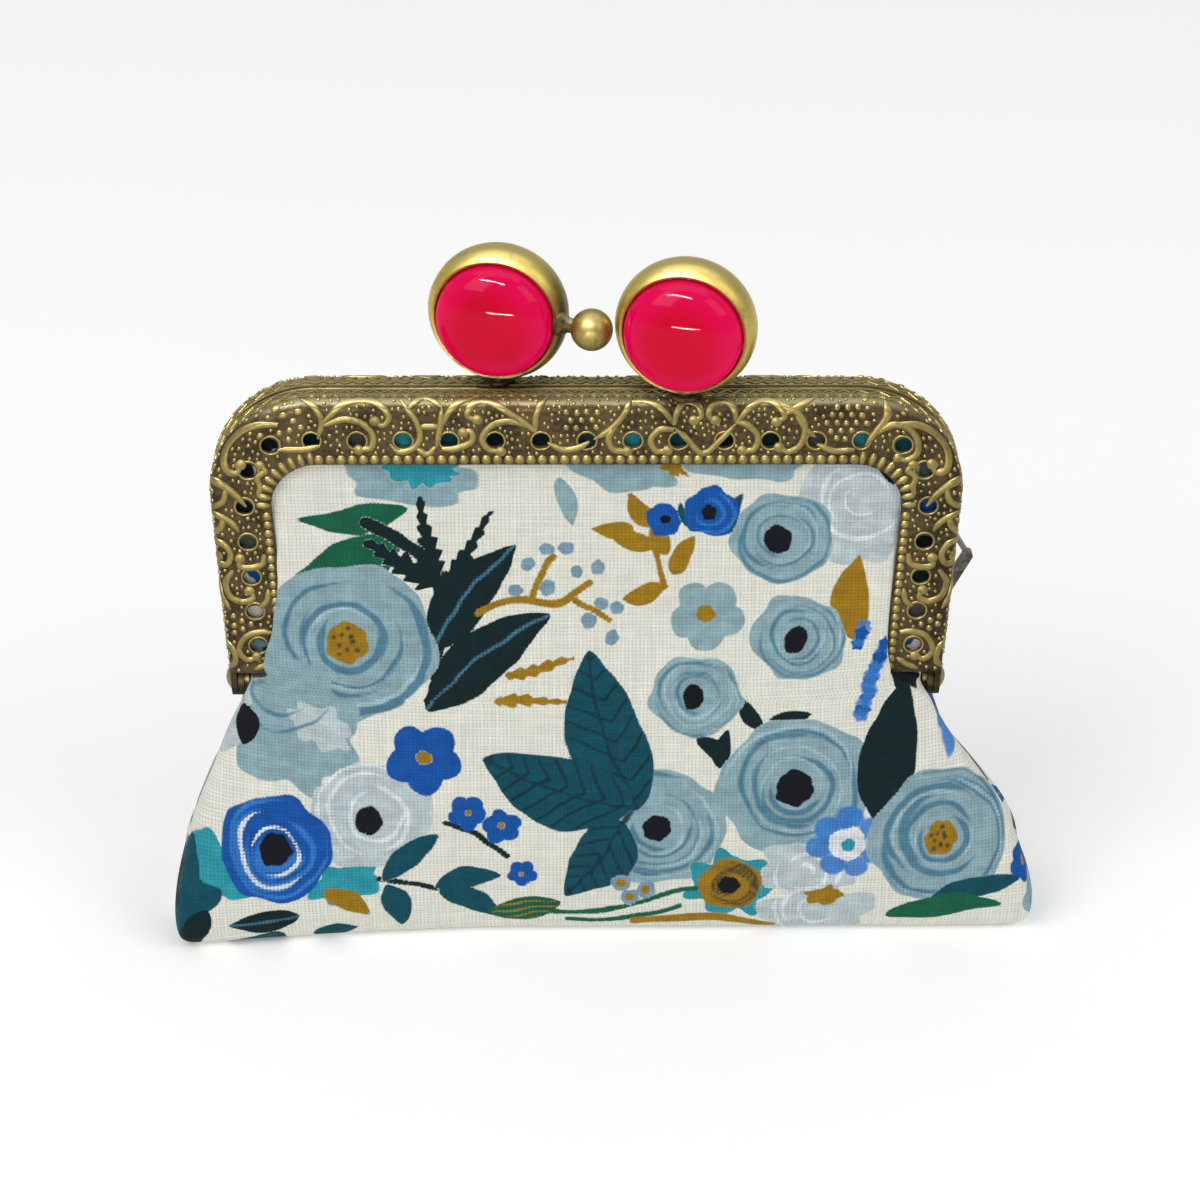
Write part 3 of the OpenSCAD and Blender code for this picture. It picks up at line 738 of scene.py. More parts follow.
# ---------------------------------------------------------------- paper cords
# Twisted paper cord wedged along the channel of each half holds the glued cloth in.
paper, paper_tree, paper_shader = new_finish("twisted_paper")
paper_place = paper_tree.nodes.new("ShaderNodeTexCoord").outputs["Object"]
paper_wave = paper_tree.nodes.new("ShaderNodeTexWave")
paper_wave.inputs["Scale"].default_value = 900
paper_wave.inputs["Distortion"].default_value = 1.5
paper_wave.bands_direction = "DIAGONAL"
paper_tree.links.new(paper_place, paper_wave.inputs["Vector"])
paper_fibre = noise(paper_tree, paper_place, 2400, 4.0)
paper_turns = sum_of(paper_tree, "MULTIPLY", paper_wave.outputs["Fac"], 0.5)
paper_tone = sum_of(paper_tree, "MULTIPLY_ADD", paper_fibre, 0.5, paper_turns)
paper_tree.links.new(mix_colours(paper_tree, paper_tone, (0.42, 0.33, 0.21), (0.66, 0.56, 0.41)),
                     paper_shader.inputs["Base Color"])
rough_up(paper_tree, paper_shader, paper_tone, 0.0001)
paper_shader.inputs["Roughness"].default_value = 0.9
for cord in ("front_paper_cord", "rear_paper_cord"):
    refinish(cord, paper)


# ---------------------------------------------------------------- outer canvas, front and rear
# Two panels of printed cotton canvas. Each is glued in the channel, comes out over the frame's
# inner edge, stands forward between the legs, and goes down over the boxed base to its middle.
LEVEL_Z = np.array([65.4, 63, 60.2, 57, 54, 48, 44, 40, 36, 33, 30, 28, 25, 20, 15, 10, 6, 3, 1.2, 0.35])
CENTRE_Y = np.array([-2.72, -2.72, -2.80, -3.10, -3.45, -4.0, -4.7, -5.8, -7.0, -7.9, -8.6, -9.05, -9.6,
                     -10.4, -11.0, -11.3, -11.3, -11.0, -10.5, -9.9])
# the widest place of each level (x right, x left, y) and its free edge or seam (x, y)
WIDE_R = np.array([35.5, 38.2, 37.0, 35.6, 35.3, 35.1, 35.05, 35.1, 35.3, 36.2, 40.0, 41.1, 42.8,
                   46.6, 49.9, 51.8, 53.0, 53.4, 53.0, 52.0])
WIDE_L = np.array([35.5, 38.2, 37.0, 35.7, 35.5, 35.6, 35.9, 36.5, 37.6, 38.4, 39.9, 41.0, 42.4,
                   44.2, 46.2, 47.6, 48.3, 48.5, 48.3, 47.6])
WIDE_R_REAR = np.array([35.5, 38.2, 37.0, 35.6, 35.3, 35.1, 35.05, 35.1, 35.2, 35.8, 39.6, 40.6, 41.6,
                        43.2, 46.6, 50.0, 52.3, 53.2, 53.0, 52.0])
WIDE_L_REAR = np.array([35.5, 38.2, 37.0, 35.6, 35.3, 35.1, 35.05, 35.1, 35.2, 35.8, 39.6, 40.4, 41.0,
                        42.4, 44.8, 46.6, 47.9, 48.9, 48.9, 48.2])
WIDE_Y = np.array([-2.75, -2.75, -2.78, -3.0, -3.2, -4.05, -4.45, -4.7, -5.0, -4.9, -4.6, -4.7, -5.2,
                   -6.2, -7.4, -8.8, -9.9, -10.4, -10.2, -9.6])
EDGE_X = np.array([35.5, 38.3, 39.5, 39.8, 39.9, 39.8, 39.7, 39.5, 39.4, 39.3, 39.3, 39.2, 39.9,
                   42.6, 46.2, 49.2, 51.2, 52.0, 51.8, 51.0])
EDGE_X_L = np.array([35.5, 38.3, 39.5, 39.8, 39.9, 39.8, 39.7, 39.5, 39.4, 39.3, 39.3, 39.2, 39.6,
                     41.8, 44.2, 46.2, 47.4, 48.0, 47.9, 47.2])
EDGE_Y = np.array([-2.75, -2.75, -2.75, -2.75, -2.75, -2.75, -2.75, -2.75, -2.75, -2.6, -1.9, -1.0, -0.25,
                   -0.05, -0.05, -0.05, -0.05, -0.05, -0.05, -0.05])
SQUARE = np.array([9, 9, 9, 8, 7, 5, 4, 3.6, 3.2, 3.0, 2.8, 2.8, 3.0, 3.6, 4.6, 6, 8, 9, 9, 9.0])


# mm: where the cloth goes in behind the legs, the base's edge and its underside, and the seam
HINGE_LEVEL = 31.5
BASE_EDGE = 0.35
BASE_LEVEL = 0.08
SEAM_Y = -0.05
# half of a panel's width along its threads, and the repeat of the print
HALF_PANEL = 62.0
PRINT_REPEAT = 2 * HALF_PANEL


def lip_at(z):
    """How far out the inner edge of the leg's face is at a level, in mm."""
    return 42.493 + (-6.8 + (z - 55.581) * math.sin(LEAN)) / math.cos(LEAN)


def along_levels(z, values):
    """Soft interpolation between the levels, which never overshoots them."""
    x, y = LEVEL_Z[::-1], values[::-1]
    slope = np.diff(y) / np.diff(x)
    tangent = np.zeros_like(y)
    before, after = slope[:-1], slope[1:]
    tangent[1:-1] = np.where(before * after > 0, 2 * before * after / (before + after + 1e-12), 0)
    tangent[0], tangent[-1] = slope[0], slope[-1]
    i = np.clip(np.searchsorted(x, z) - 1, 0, len(x) - 2)
    h = x[i + 1] - x[i]
    t = (z - x[i]) / h
    return ((2 * t ** 3 - 3 * t ** 2 + 1) * y[i] + (t ** 3 - 2 * t ** 2 + t) * h * tangent[i]
            + (-2 * t ** 3 + 3 * t ** 2) * y[i + 1] + (t ** 3 - t ** 2) * h * tangent[i + 1])


def level_line(z, side, rear):
    """Half of the cloth's line at one level, from the middle to its edge, in mm."""
    z = float(z)
    centre = float(along_levels(z, CENTRE_Y))
    widest = {(1, False): WIDE_R, (-1, False): WIDE_L, (1, True): WIDE_R_REAR, (-1, True): WIDE_L_REAR}
    wide = float(along_levels(z, widest[(side, rear)]))
    wide_y = float(along_levels(z, WIDE_Y))
    edge_x = float(along_levels(z, EDGE_X if side > 0 else EDGE_X_L))
    edge_y = float(along_levels(z, EDGE_Y))
    power = float(along_levels(z, SQUARE))
    t = np.sin(np.linspace(0, math.pi / 2, 60))
    front = np.stack([t * wide, centre + (wide_y - centre) * (1 - (1 - t ** power) ** (1 / 1.35))], axis=1)
    back_t = np.linspace(0, 1, 24)[1:]
    bow = np.sin(back_t * math.pi) * 0.10 * abs(edge_y - wide_y)
    back = np.stack([wide + (edge_x - wide) * back_t ** 1.6 + bow,
                     wide_y + (edge_y - wide_y) * back_t], axis=1)
    line = np.concatenate([front, back])
    # above the hinge the cloth slips back behind the lip of the leg's face and into the channel
    if z > HINGE_LEVEL:
        blend = min(1.0, (z - HINGE_LEVEL) / 2.0)
        if z < RIM_Z:
            lip_x = lip_at(z)
            fold = np.array([lip_x - 0.35, max(-4.15, wide_y + 0.15)])
            inner = np.array([[lip_x - 0.15, -3.0], [lip_x + 0.5, -2.78], [edge_x, -2.75]])
            turns = ((line[59], fold, 8), (fold, inner[0], 4),
                     (inner[0], inner[1], 4), (inner[1], inner[2], 11))
            back = np.concatenate([np.linspace(start, end, count)[1:] for start, end, count in turns])
            line = np.concatenate([front, blend * back + (1 - blend) * line[60:83]])
        else:
            line = np.concatenate([front, line[60:83]])
    line[:, 0] *= side
    # the left corner of the base stands forward of the rest
    if side < 0 and not rear:
        reach = np.clip((-line[:, 0] - 8) / 40, 0, 1)
        low = min(1.0, max(0.0, (19 - z) / 14))
        push = 3.6 * reach ** 1.6 * low * low * (3 - 2 * low)
        line[:, 1] -= push * np.clip(-line[:, 1] / 9.5, 0, 1)
    return line


def equal_steps(line, count):
    step = np.linalg.norm(np.diff(line, axis=0), axis=1)
    run = np.concatenate([[0], np.cumsum(step)])
    want = np.linspace(0, run[-1], count)
    return np.stack([np.interp(want, run, line[:, k]) for k in range(line.shape[1])], axis=1), want


def canvas_grid(columns, rows, rear):
    """Points (rows, columns, 3) of the front panel in mm, with their run (u, v) along the threads."""
    fine_z = np.linspace(LEVEL_Z[0], BASE_EDGE, 400)
    fine = np.stack([along_levels(fine_z, CENTRE_Y), fine_z], axis=1)
    under = np.stack([np.linspace(-9.85, SEAM_Y, 40), np.full(40, BASE_LEVEL)], axis=1)
    spine, run = equal_steps(np.concatenate([fine, under]), rows + 1)
    down = np.concatenate([[0], np.cumsum(np.linalg.norm(np.diff(fine, axis=0), axis=1))])
    v_zero = float(np.interp(-60.2, -fine_z, down))
    points = np.zeros((rows + 1, columns + 1, 3))
    thread = np.zeros((rows + 1, columns + 1, 2))
    half = columns // 2
    base_right, base_left = level_line(BASE_EDGE, 1, rear), level_line(BASE_EDGE, -1, rear)
    for j, (y, z) in enumerate(spine):
        on_base = z < 0.34
        for side, base in ((1, base_right), (-1, base_left)):
            if on_base:
                shrink = abs(y) / 10.4
                line = base.copy()
                line[:, 1] = SEAM_Y + (line[:, 1] - SEAM_Y) * shrink
                # the walls of the boxed corner fold in with the base
                level = BASE_LEVEL
            else:
                line = level_line(z, side, rear)
                level = z
            spots, u = equal_steps(line, half + 1)
            if on_base:
                u = np.linspace(0, HALF_PANEL, half + 1)
            columns_at = half + side * np.arange(half + 1)
            points[j, columns_at, 0] = spots[:, 0]
            points[j, columns_at, 1] = spots[:, 1]
            points[j, columns_at, 2] = level
            thread[j, columns_at, 0] = side * u
            thread[j, columns_at, 1] = run[j] - v_zero
    return points, thread


def cloth_mesh(name, points, thread, rear):
    """A grid of quads moved into the cloth's shape, with its threads kept as an attribute."""
    rows, columns = points.shape[0] - 1, points.shape[1] - 1
    deselect_everything()
    bpy.ops.mesh.primitive_grid_add(x_subdivisions=columns, y_subdivisions=rows, size=2)
    piece = bpy.context.object
    piece.name = name
    piece.data.name = name
    count = len(piece.data.vertices)
    flat = np.zeros(count * 3)
    piece.data.vertices.foreach_get("co", flat)
    flat = flat.reshape(-1, 3)
    i = np.rint((flat[:, 0] + 1) / 2 * columns).astype(int)
    j = np.rint((1 - flat[:, 1]) / 2 * rows).astype(int)
    place = points[j, i] / 1000.0
    if rear:
        place = place * np.array([1.0, -1.0, 1.0])
    piece.data.vertices.foreach_set("co", place.ravel())
    run = piece.data.attributes.new("thread", "FLOAT_VECTOR", "POINT")
    values = np.zeros((count, 3), dtype=np.float32)
    values[:, :2] = thread[j, i]
    run.data.foreach_set("vector", values.ravel())
    bpy.ops.object.mode_set(mode="EDIT")
    bpy.ops.mesh.select_all(action="SELECT")
    if rear:
        bpy.ops.mesh.flip_normals()
    bpy.ops.object.mode_set(mode="OBJECT")
    return piece


def smooth_cloth(piece, levels):
    select_only(piece)
    if levels:
        smooth = piece.modifiers.new("smooth", "SUBSURF")
        smooth.levels = levels
        smooth.render_levels = levels
        smooth.boundary_smooth = "PRESERVE_CORNERS"
        bpy.ops.object.modifier_apply(modifier="smooth")
    bpy.ops.object.shade_smooth()


def read_thread(piece):
    count = len(piece.data.vertices)
    values = np.zeros(count * 3, dtype=np.float32)
    piece.data.attributes["thread"].data.foreach_get("vector", values)
    values = values.reshape(-1, 3)
    return values[:, 0].astype(float), values[:, 1].astype(float)


# The print: every ink is a field of distances in mm, above zero where that ink is. The inks are
# painted from the ground up, and a later shape clears the inks that would lie over it.
INKS = ["aqua", "pale", "grey", "petal", "teal", "leaf", "green", "mustard", "shade", "gleam", "vein",
        "cobalt", "azure", "white", "navy"]
SOFT_INKS = {"shade": 0.92, "gleam": 0.75, "vein": 0.88, "azure": 0.92}


class FlowerPrint:
    """Paints flowers and leaves over the cloth's thread coordinates."""

    def __init__(self, u, v, seed):
        self.u = u
        self.v = v
        self.shift = 0.0
        self.dice = np.random.RandomState(seed)
        self.ink = {name: np.full(u.shape, -9.0) for name in INKS}
        # hand-drawn edges wander a little
        self.wob_u = 0.16 * np.sin(u * 0.8 + v * 0.5) + 0.06 * np.sin(u * 1.9 - v * 1.3 + 1)
        self.wob_v = 0.16 * np.sin(v * 0.7 - u * 0.6 + 2) + 0.06 * np.sin(v * 2.1 + u * 1.1)

    def local(self, x, y, angle=0.0, reach=12.0):
        x = x + self.shift
        near = np.nonzero((np.abs(self.u - x) < reach) & (np.abs(self.v - y) < reach))[0]
        dx = self.u[near] + self.wob_u[near] - x
        dy = self.v[near] + self.wob_v[near] - y
        c, s = math.cos(angle), math.sin(angle)
        return near, dx * c + dy * s, -dx * s + dy * c

    def paint(self, name, near, field):
        self.ink[name][near] = np.maximum(self.ink[name][near], field)
        for higher in INKS[INKS.index(name) + 1:]:
            self.ink[higher][near] = np.minimum(self.ink[higher][near], 0.05 - field)

    def blob(self, name, x, y, rx, ry=None, angle=0.0, rough=0.08, lobes=5):
        ry = ry or rx
        near, a, b = self.local(x, y, angle, max(rx, ry) * 1.4 + 1)
        theta = np.arctan2(b / ry, a / rx)
        edge = 1 + rough * np.sin(lobes * theta + self.dice.uniform(0, 6))
        edge += 0.5 * rough * np.sin((lobes + 4) * theta)
        self.paint(name, near, (edge - np.hypot(a / rx, b / ry)) * min(rx, ry))

    def rings(self, name, x, y, radius, pitch, width, first=0.35, angle=0.0, skew=0.07):
        """Curved brush strokes round a flower's middle."""
        near, a, b = self.local(x, y, angle, radius * 1.2 + 1)
        r, theta = np.hypot(a, b), np.arctan2(b, a)
        ring = radius * first
        while ring < radius - 0.4 * width:
            start = self.dice.uniform(-math.pi, math.pi)
            span = self.dice.uniform(2.6, 5.4)
            thick = width * self.dice.uniform(0.7, 1.3)
            at = (theta - start + 3 * math.pi) % (2 * math.pi) - math.pi
            fade = np.clip((span / 2 - np.abs(at)) * 1.4, -1, 1)
            centre = ring * (1 + skew * np.sin(theta + start) + 0.025 * np.sin(3 * theta + start))
            stroke = thick * 0.5 * fade - np.abs(r - centre)
            self.paint_over(name, near, np.minimum(stroke, radius * 0.95 - r))
            ring += pitch * self.dice.uniform(0.85, 1.15)

    def paint_over(self, name, near, field):
        self.ink[name][near] = np.maximum(self.ink[name][near], field)

    def rose(self, x, y, radius, base="pale", stroke="shade", middle="mustard", middle_r=0.24):
        self.blob(base, x, y, radius, radius * 0.95, rough=0.035, lobes=5)
        self.rings(stroke, x, y, radius, radius * 0.125, radius * 0.090, 0.34)
        if stroke == "shade":
            self.rings("gleam", x, y, radius, radius * 0.22, radius * 0.045, 0.40)
        self.blob(middle, x, y, radius * middle_r, rough=0.05, lobes=6)
        if middle == "mustard":
            for k in range(9):
                a, far = 0.7 * k, radius * middle_r * (0.35 + 0.3 * (k % 2))
                self.blob("vein", x + far * math.cos(a), y + far * math.sin(a), 0.30, rough=0.1)

    def poppy(self, x, y, radius, base="pale", stroke="shade", tilt=0.0, eye=0.25):
        self.blob(base, x, y, radius, radius * 0.92, tilt, 0.045, 5)
        self.rings(stroke, x, y, radius, radius * 0.15, radius * 0.08, 0.42)
        self.rings("gleam", x, y, radius, radius * 0.23, radius * 0.06, 0.50)
        self.blob("navy", x - radius * 0.08, y + radius * 0.05,
                  radius * eye, radius * eye * 1.15, tilt, 0.03)

    def star(self, x, y, radius, petals=5, base="cobalt", middle="mustard", angle=0.3, middle_r=0.2):
        near, a, b = self.local(x, y, angle, radius * 1.3 + 1)
        size = 0.60 if petals < 6 else 0.42
        field = radius * 0.45 - np.hypot(a, b)
        for k in range(petals):
            turn = 2 * math.pi * k / petals
            px, py = radius * (1 - size * 0.78) * math.cos(turn), radius * (1 - size * 0.78) * math.sin(turn)
            field = np.maximum(field, radius * size * 0.74 - np.hypot(a - px, b - py))
        self.paint(base, near, field)
        self.blob(middle, x, y, radius * middle_r, rough=0.06)

    def leaf(self, name, x, y, length, width, angle, vein=None, side_veins=0, brush=False):
        """A pointed leaf from its stem at (x, y), with an optional midrib and side veins."""
        near, a, b = self.local(x, y, angle, length * 1.15 + 1)
        t = a / length
        half = width / 2 * np.clip(np.sin(np.clip(t, 0, 1) ** 0.8 * math.pi), 0, 1) ** 0.75
        field = half - np.abs(b + 0.06 * length * np.sin(t * math.pi))
        field = np.where((t < 0) | (t > 1), -np.maximum(-a, a - length) - 0.1, field)
        self.paint(name, near, field)
        if vein:
            rib = 0.18 - np.abs(b + 0.06 * length * np.sin(t * math.pi))
            self.paint_over(vein, near, np.minimum(rib, field))
            if side_veins:
                wave = np.abs(((a - np.abs(b) * 0.85) / length * side_veins) % 1 - 0.5) * length / side_veins
                self.paint_over(vein, near, np.minimum(0.24 - wave, field - 0.25))
        if brush:
            streak = 0.16 - np.abs((b / 0.9 + 0.12 * np.sin(a * 1.4)) % 1 - 0.5) * 0.9
            self.paint_over(brush, near, np.minimum(streak, field - 0.15))

    def stem(self, name, points, width):
        line = smooth_line(points, 0.5) + np.array([self.shift, 0.0])
        low, high = line.min(0) - width - 1, line.max(0) + width + 1
        near = np.nonzero((self.u > low[0]) & (self.u < high[0]) & (self.v > low[1]) & (self.v < high[1]))[0]
        spots = np.stack([self.u[near] + self.wob_u[near], self.v[near] + self.wob_v[near]], axis=1)
        nearest = np.full(len(near), 99.0)
        for p in line:
            nearest = np.minimum(nearest, np.linalg.norm(spots - p, axis=1))
        self.paint(name, near, width / 2 - nearest)

    def frond(self, name, x, y, length, angle, width=2.2):
        """A feathery sprig with rough teeth."""
        near, a, b = self.local(x, y, angle, length * 1.2 + 1)
        t = a / length
        teeth = np.abs((a / 1.7 - 0.45 * np.abs(b)) % 1 - 0.5) * 2
        half = width / 2 * np.clip(1.12 - t, 0, 1) ** 0.6 * np.clip(0.3 + 5 * t, 0, 1)
        half *= 0.42 + 0.58 * teeth
        field = np.where((t < 0) | (t > 1), -1.0, half - np.abs(b))
        self.paint(name, near, field)

    def berries(self, name, spots, radius):
        for x, y in spots:
            self.blob(name, x, y, radius, rough=0.05)


def paint_under_holes(page):
    """Print in the strip inside the frame's channel, which shows through the sewing holes: the print goes on
    there, and its blobs are given mostly dark inks as painted shade for the inside of the channel.
    """
    for k in range(-9, 10):
        page.blob(("vein", "teal", "leaf", "aqua", "navy")[(3 * k) % 5], 5.13 * k, -3.4, 2.5, 2.3, 0.4 * k)
    for k in range(8):
        for side in (-1, 1):
            drift = 3.4 if side < 0 and k > 5 else 0.0
            tone = ("navy", "leaf", "vein", "cobalt")[(k + side) % 4]
            page.blob(tone, side * (39.4 + drift), -3.0 + 4.3 * k, 2.0, 2.5)


def paint_flowers(page):
    """One repeat of the print."""
    # pale washes behind the flowers
    page.blob("pale", -20, 2.0, 7.5, 3.4, 0.1, 0.10)
    page.blob("aqua", -18.5, 0.8, 4.2, 2.4, 0.1, 0.10, 11)
    page.blob("pale", 3.5, 0.0, 6.5, 3.6, 0.3, 0.08)
    page.blob("pale", 17, -0.5, 8.0, 2.8, 0.1, 0.10)
    page.leaf("pale", -3.5, 2.0, 6.5, 2.4, 1.25)
    page.blob("petal", 31, 5.0, 6.5, 8.0, 0.2, 0.08)
    page.rings("white", 31, 5.0, 6.0, 1.5, 0.5, 0.3)
    page.leaf("navy", 33, -1.0, 4.5, 2.2, 1.2)
    page.blob("pale", -36, 34.0, 9.0, 6.5, 0.5, 0.12, 7)
    page.blob("petal", -46, 33.0, 6.5, 5.5, -0.4, 0.10)
    page.blob("aqua", -44, 50.5, 5.0, 3.4, 0.4, 0.14)
    page.blob("aqua", -28.5, 52.5, 4.2, 2.6, -0.3, 0.14)
    page.blob("teal", -50, 55.0, 5.5, 7.0, 0.3, 0.14, 7)
    page.blob("leaf", -53, 56.0, 3.2, 6.0, 0.2, 0.2, 9)

    # green brush leaf and dark fronds, top left
    page.leaf("green", -21.0, 9.5, 14.0, 6.2, 2.75, brush="aqua")
    page.leaf("green", -20.5, 5.8, 12.5, 3.4, 3.02)
    page.stem("leaf", [(-17.8, 30), (-17.3, 23), (-16.8, 16), (-19.0, 11.5), (-25, 7.5)], 1.5)
    page.frond("leaf", -17.2, 15.5, 11.5, -1.72, 3.2)
    page.frond("leaf", -16.6, 16.5, 12.0, -1.05, 2.8)
    page.frond("leaf", -17.5, 15.0, 9.5, -2.55, 4.4)
    page.leaf("leaf", -17.6, 22.8, 15.5, 6.2, -0.92, vein="shade")
    page.leaf("leaf", -18.4, 30.4, 18.5, 6.6, -0.69, vein="shade")

    # big blue rose with a golden middle
    page.rose(-27.6, 22.3, 10.2)
    page.blob("pale", -33.5, 30.5, 8.2, 5.0, 0.7, 0.12, 7)
    page.blob("petal", -31.0, 33.2, 3.8, 2.6, 0.5, 0.12, 7)
    page.rings("shade", -36.0, 28.5, 8.0, 1.9, 0.5, 0.5)
    page.leaf("navy", -40.2, 31.5, 5.2, 3.0, 1.65)

    # golden twigs and pale berries
    page.stem("mustard", [(-12.5, 18.5), (-7.5, 17.0), (-3.0, 17.4), (0.5, 15.0)], 1.0)
    page.stem("mustard", [(-6.5, 17.0), (-5.0, 13.8), (-3.8, 11.8)], 0.8)
    page.stem("mustard", [(-1.5, 17.0), (2.5, 19.6)], 0.8)
    page.berries("grey", [(-8.0, 15.8), (-6.6, 12.8), (-4.4, 10.8), (-2.4, 10.6),
                          (-4.6, 15.6), (-1.2, 13.6), (1.4, 13.0), (1.6, 17.6),
                          (3.4, 18.0), (0.2, 19.6), (3.0, 21.6)], 0.85)
    page.frond("mustard", -9.6, 26.4, 8.5, -0.28, 2.1)
    page.frond("mustard", -10.6, 29.2, 9.2, 0.0, 2.1)
    for x, y, angle in ((5.5, 8.0, 3.05), (7.5, 10.5, 3.5), (9.2, 11.5, 4.4),
                        (10.0, 14.0, 5.2), (9.0, 15.6, 2.9), (8.0, 8.0, 4.0)):
        page.leaf("mustard", x, y, 5.2, 2.3, angle, vein="leaf")
    page.stem("mustard", [(4.5, 8.2), (7.5, 10.4), (9.0, 15.5)], 0.85)
    page.blob("mustard", 9.8, 0.9, 1.6, 0.7, 0.5, 0.25)

    # small cobalt flowers
    page.blob("cobalt", 8.8, 7.3, 2.0, rough=0.06)
    page.blob("navy", 8.8, 7.3, 0.6)
    page.leaf("teal", 11.6, 8.2, 3.6, 1.2, -1.9)
    page.leaf("teal", 16.0, 8.8, 5.0, 1.5, -1.25)
    page.blob("cobalt", 14.0, 6.2, 3.1, 3.0, rough=0.06)
    page.rings("azure", 14.0, 6.2, 3.0, 0.9, 0.4, 0.5)
    page.blob("navy", 14.0, 6.2, 0.9)

    # poppies down the right
    page.poppy(22.3, 9.4, 6.0)
    page.leaf("mustard", 30.6, 22.0, 10.5, 4.6, -1.52, vein="leaf", side_veins=5)
    page.blob("mustard", 14.2, 18.6, 0.1)
    page.star(13.8, 18.8, 4.5, 5, base="pale", middle="mustard", middle_r=0.24)
    page.leaf("leaf", 20.5, 33.5, 6.0, 2.6, -0.35)
    page.leaf("leaf", 20.5, 33.0, 5.0, 2.2, -2.2)
    page.poppy(24.5, 21.8, 5.6, tilt=0.5)
    page.leaf("leaf", 13.0, 33.5, 5.0, 2.2, 0.9)
    page.leaf("leaf", 15.5, 37.8, 5.0, 2.4, -1.4)
    page.poppy(12.7, 28.6, 5.3)
    for k in range(26):
        a, b = (k * 0.618) % 1, (k * 0.382 + 0.2) % 1
        tone = "azure" if k % 3 else "cobalt"
        page.blob(tone, 31.2 + 3.6 * a, 20.5 + 11.5 * b, 0.85, rough=0.15)
    page.rose(8.2, 45.5, 8.2, middle="navy", middle_r=0.20, stroke="shade")
    page.rose(24.4, 40.4, 9.0, middle="navy", middle_r=0.24, stroke="shade")
    page.leaf("leaf", 35.5, 46.5, 19.0, 7.0, -1.45, brush="teal")
    page.leaf("mustard", 42.5, 34.5, 7.0, 1.8, -1.3)
    page.blob("azure", 44.5, 34.0, 2.2, 4.0, 0.3, 0.12)

    # veined teal leaves in the middle
    page.stem("vein", [(6.4, 41.0), (4.8, 44.0), (3.6, 47.0)], 0.9)
    page.leaf("teal", 6.2, 43.0, 21.0, 9.2, -1.86, vein="vein", side_veins=8)
    page.leaf("teal", 5.4, 42.6, 18.5, 9.4, -2.80, vein="vein", side_veins=8)
    page.leaf("teal", 4.4, 44.4, 12.5, 7.6, 2.15, vein="vein", side_veins=6)

    # cobalt flowers and sprigs, lower left
    page.poppy(-25.0, 44.0, 7.2, base="petal", stroke="white", eye=0.22)
    page.star(-18.9, 36.5, 4.7, 5)
    page.stem("leaf", [(-16.5, 44.6), (-13.0, 46.0), (-9.5, 49.0)], 0.85)
    page.star(-14.0, 43.4, 2.3, 5)
    page.star(-9.9, 45.2, 2.4, 5, angle=0.8)
    page.star(-7.6, 51.6, 2.0, 5)
    page.stem("leaf", [(-24.5, 52.0), (-18.0, 53.5), (-12.5, 54.5)], 0.85)
    page.leaf("teal", -24.0, 52.3, 9.0, 3.2, -0.72)
    page.leaf("teal", -18.0, 53.2, 8.0, 3.0, -0.15)
    page.leaf("teal", -17.5, 53.8, 9.0, 3.2, 0.5)
    page.leaf("teal", -23.5, 52.8, 6.5, 3.2, 1.35)
    page.rose(-36.6, 48.2, 6.6, base="cobalt", stroke="azure", middle="navy", middle_r=0.30)
    page.rings("white", -36.6, 48.2, 5.6, 1.8, 0.55, 0.50)
    page.leaf("mustard", -31.0, 53.5, 6.5, 3.0, 0.6, vein="leaf")
    page.leaf("leaf", -34.0, 56.5, 8.5, 3.4, 3.05, vein="shade")
    page.leaf("teal", -36.0, 59.6, 9.5, 3.6, 2.85, vein="vein")
    page.leaf("teal", -33.0, 60.5, 6.0, 2.6, -0.25)
    page.leaf("leaf", -45.0, 55.0, 8.0, 3.0, 2.2)

    # along the foot of the panel, and round the corner
    page.blob("aqua", 17.0, 53.4, 5.0, 4.4, 0.3, 0.16, 7)
    page.rose(17.0, 53.4, 3.8, base="mustard", stroke="vein", middle="navy", middle_r=0.32)
    page.blob("petal", 26.0, 51.5, 5.6, 4.0, 0.2, 0.12)
    page.rings("white", 26.0, 51.5, 5.0, 1.3, 0.5, 0.2)
    page.blob("petal", 27.5, 57.5, 6.8, 3.8, -0.1, 0.12)
    page.rings("white", 27.5, 57.5, 5.5, 1.4, 0.5, 0.4)
    page.blob("mustard", 28.2, 55.0, 2.4, 1.3, -0.1, 0.16)
    page.star(30.8, 47.8, 4.9, 7, base="azure", middle="white", middle_r=0.45)
    page.star(30.8, 47.8, 2.2, 8, base="white", middle="aqua", middle_r=0.38)
    page.rose(42.0, 47.5, 8.6)
    page.leaf("teal", 40.5, 56.2, 12.0, 3.0, -0.22)
    page.leaf("green", 36.0, 58.3, 14.0, 3.4, -0.12)
    page.leaf("green", -3.0, 56.0, 9.0, 3.6, 3.02, brush="mustard")
    page.stem("green", [(-4.0, 57.5), (3.5, 57.0), (9.0, 54.8), (13.0, 54.0)], 0.85)
    page.stem("green", [(-2.0, 58.8), (5.0, 58.6), (11.0, 56.5)], 0.85)
    page.stem("mustard", [(6.0, 59.2), (14.0, 58.4), (22.0, 60.0)], 1.4)
    page.berries("grey", [(4.0, 53.0), (5.2, 55.2), (7.2, 54.0)], 1.2)
    page.berries("mustard", [(4.0, 53.0), (5.2, 55.2), (7.2, 54.0)], 0.6)

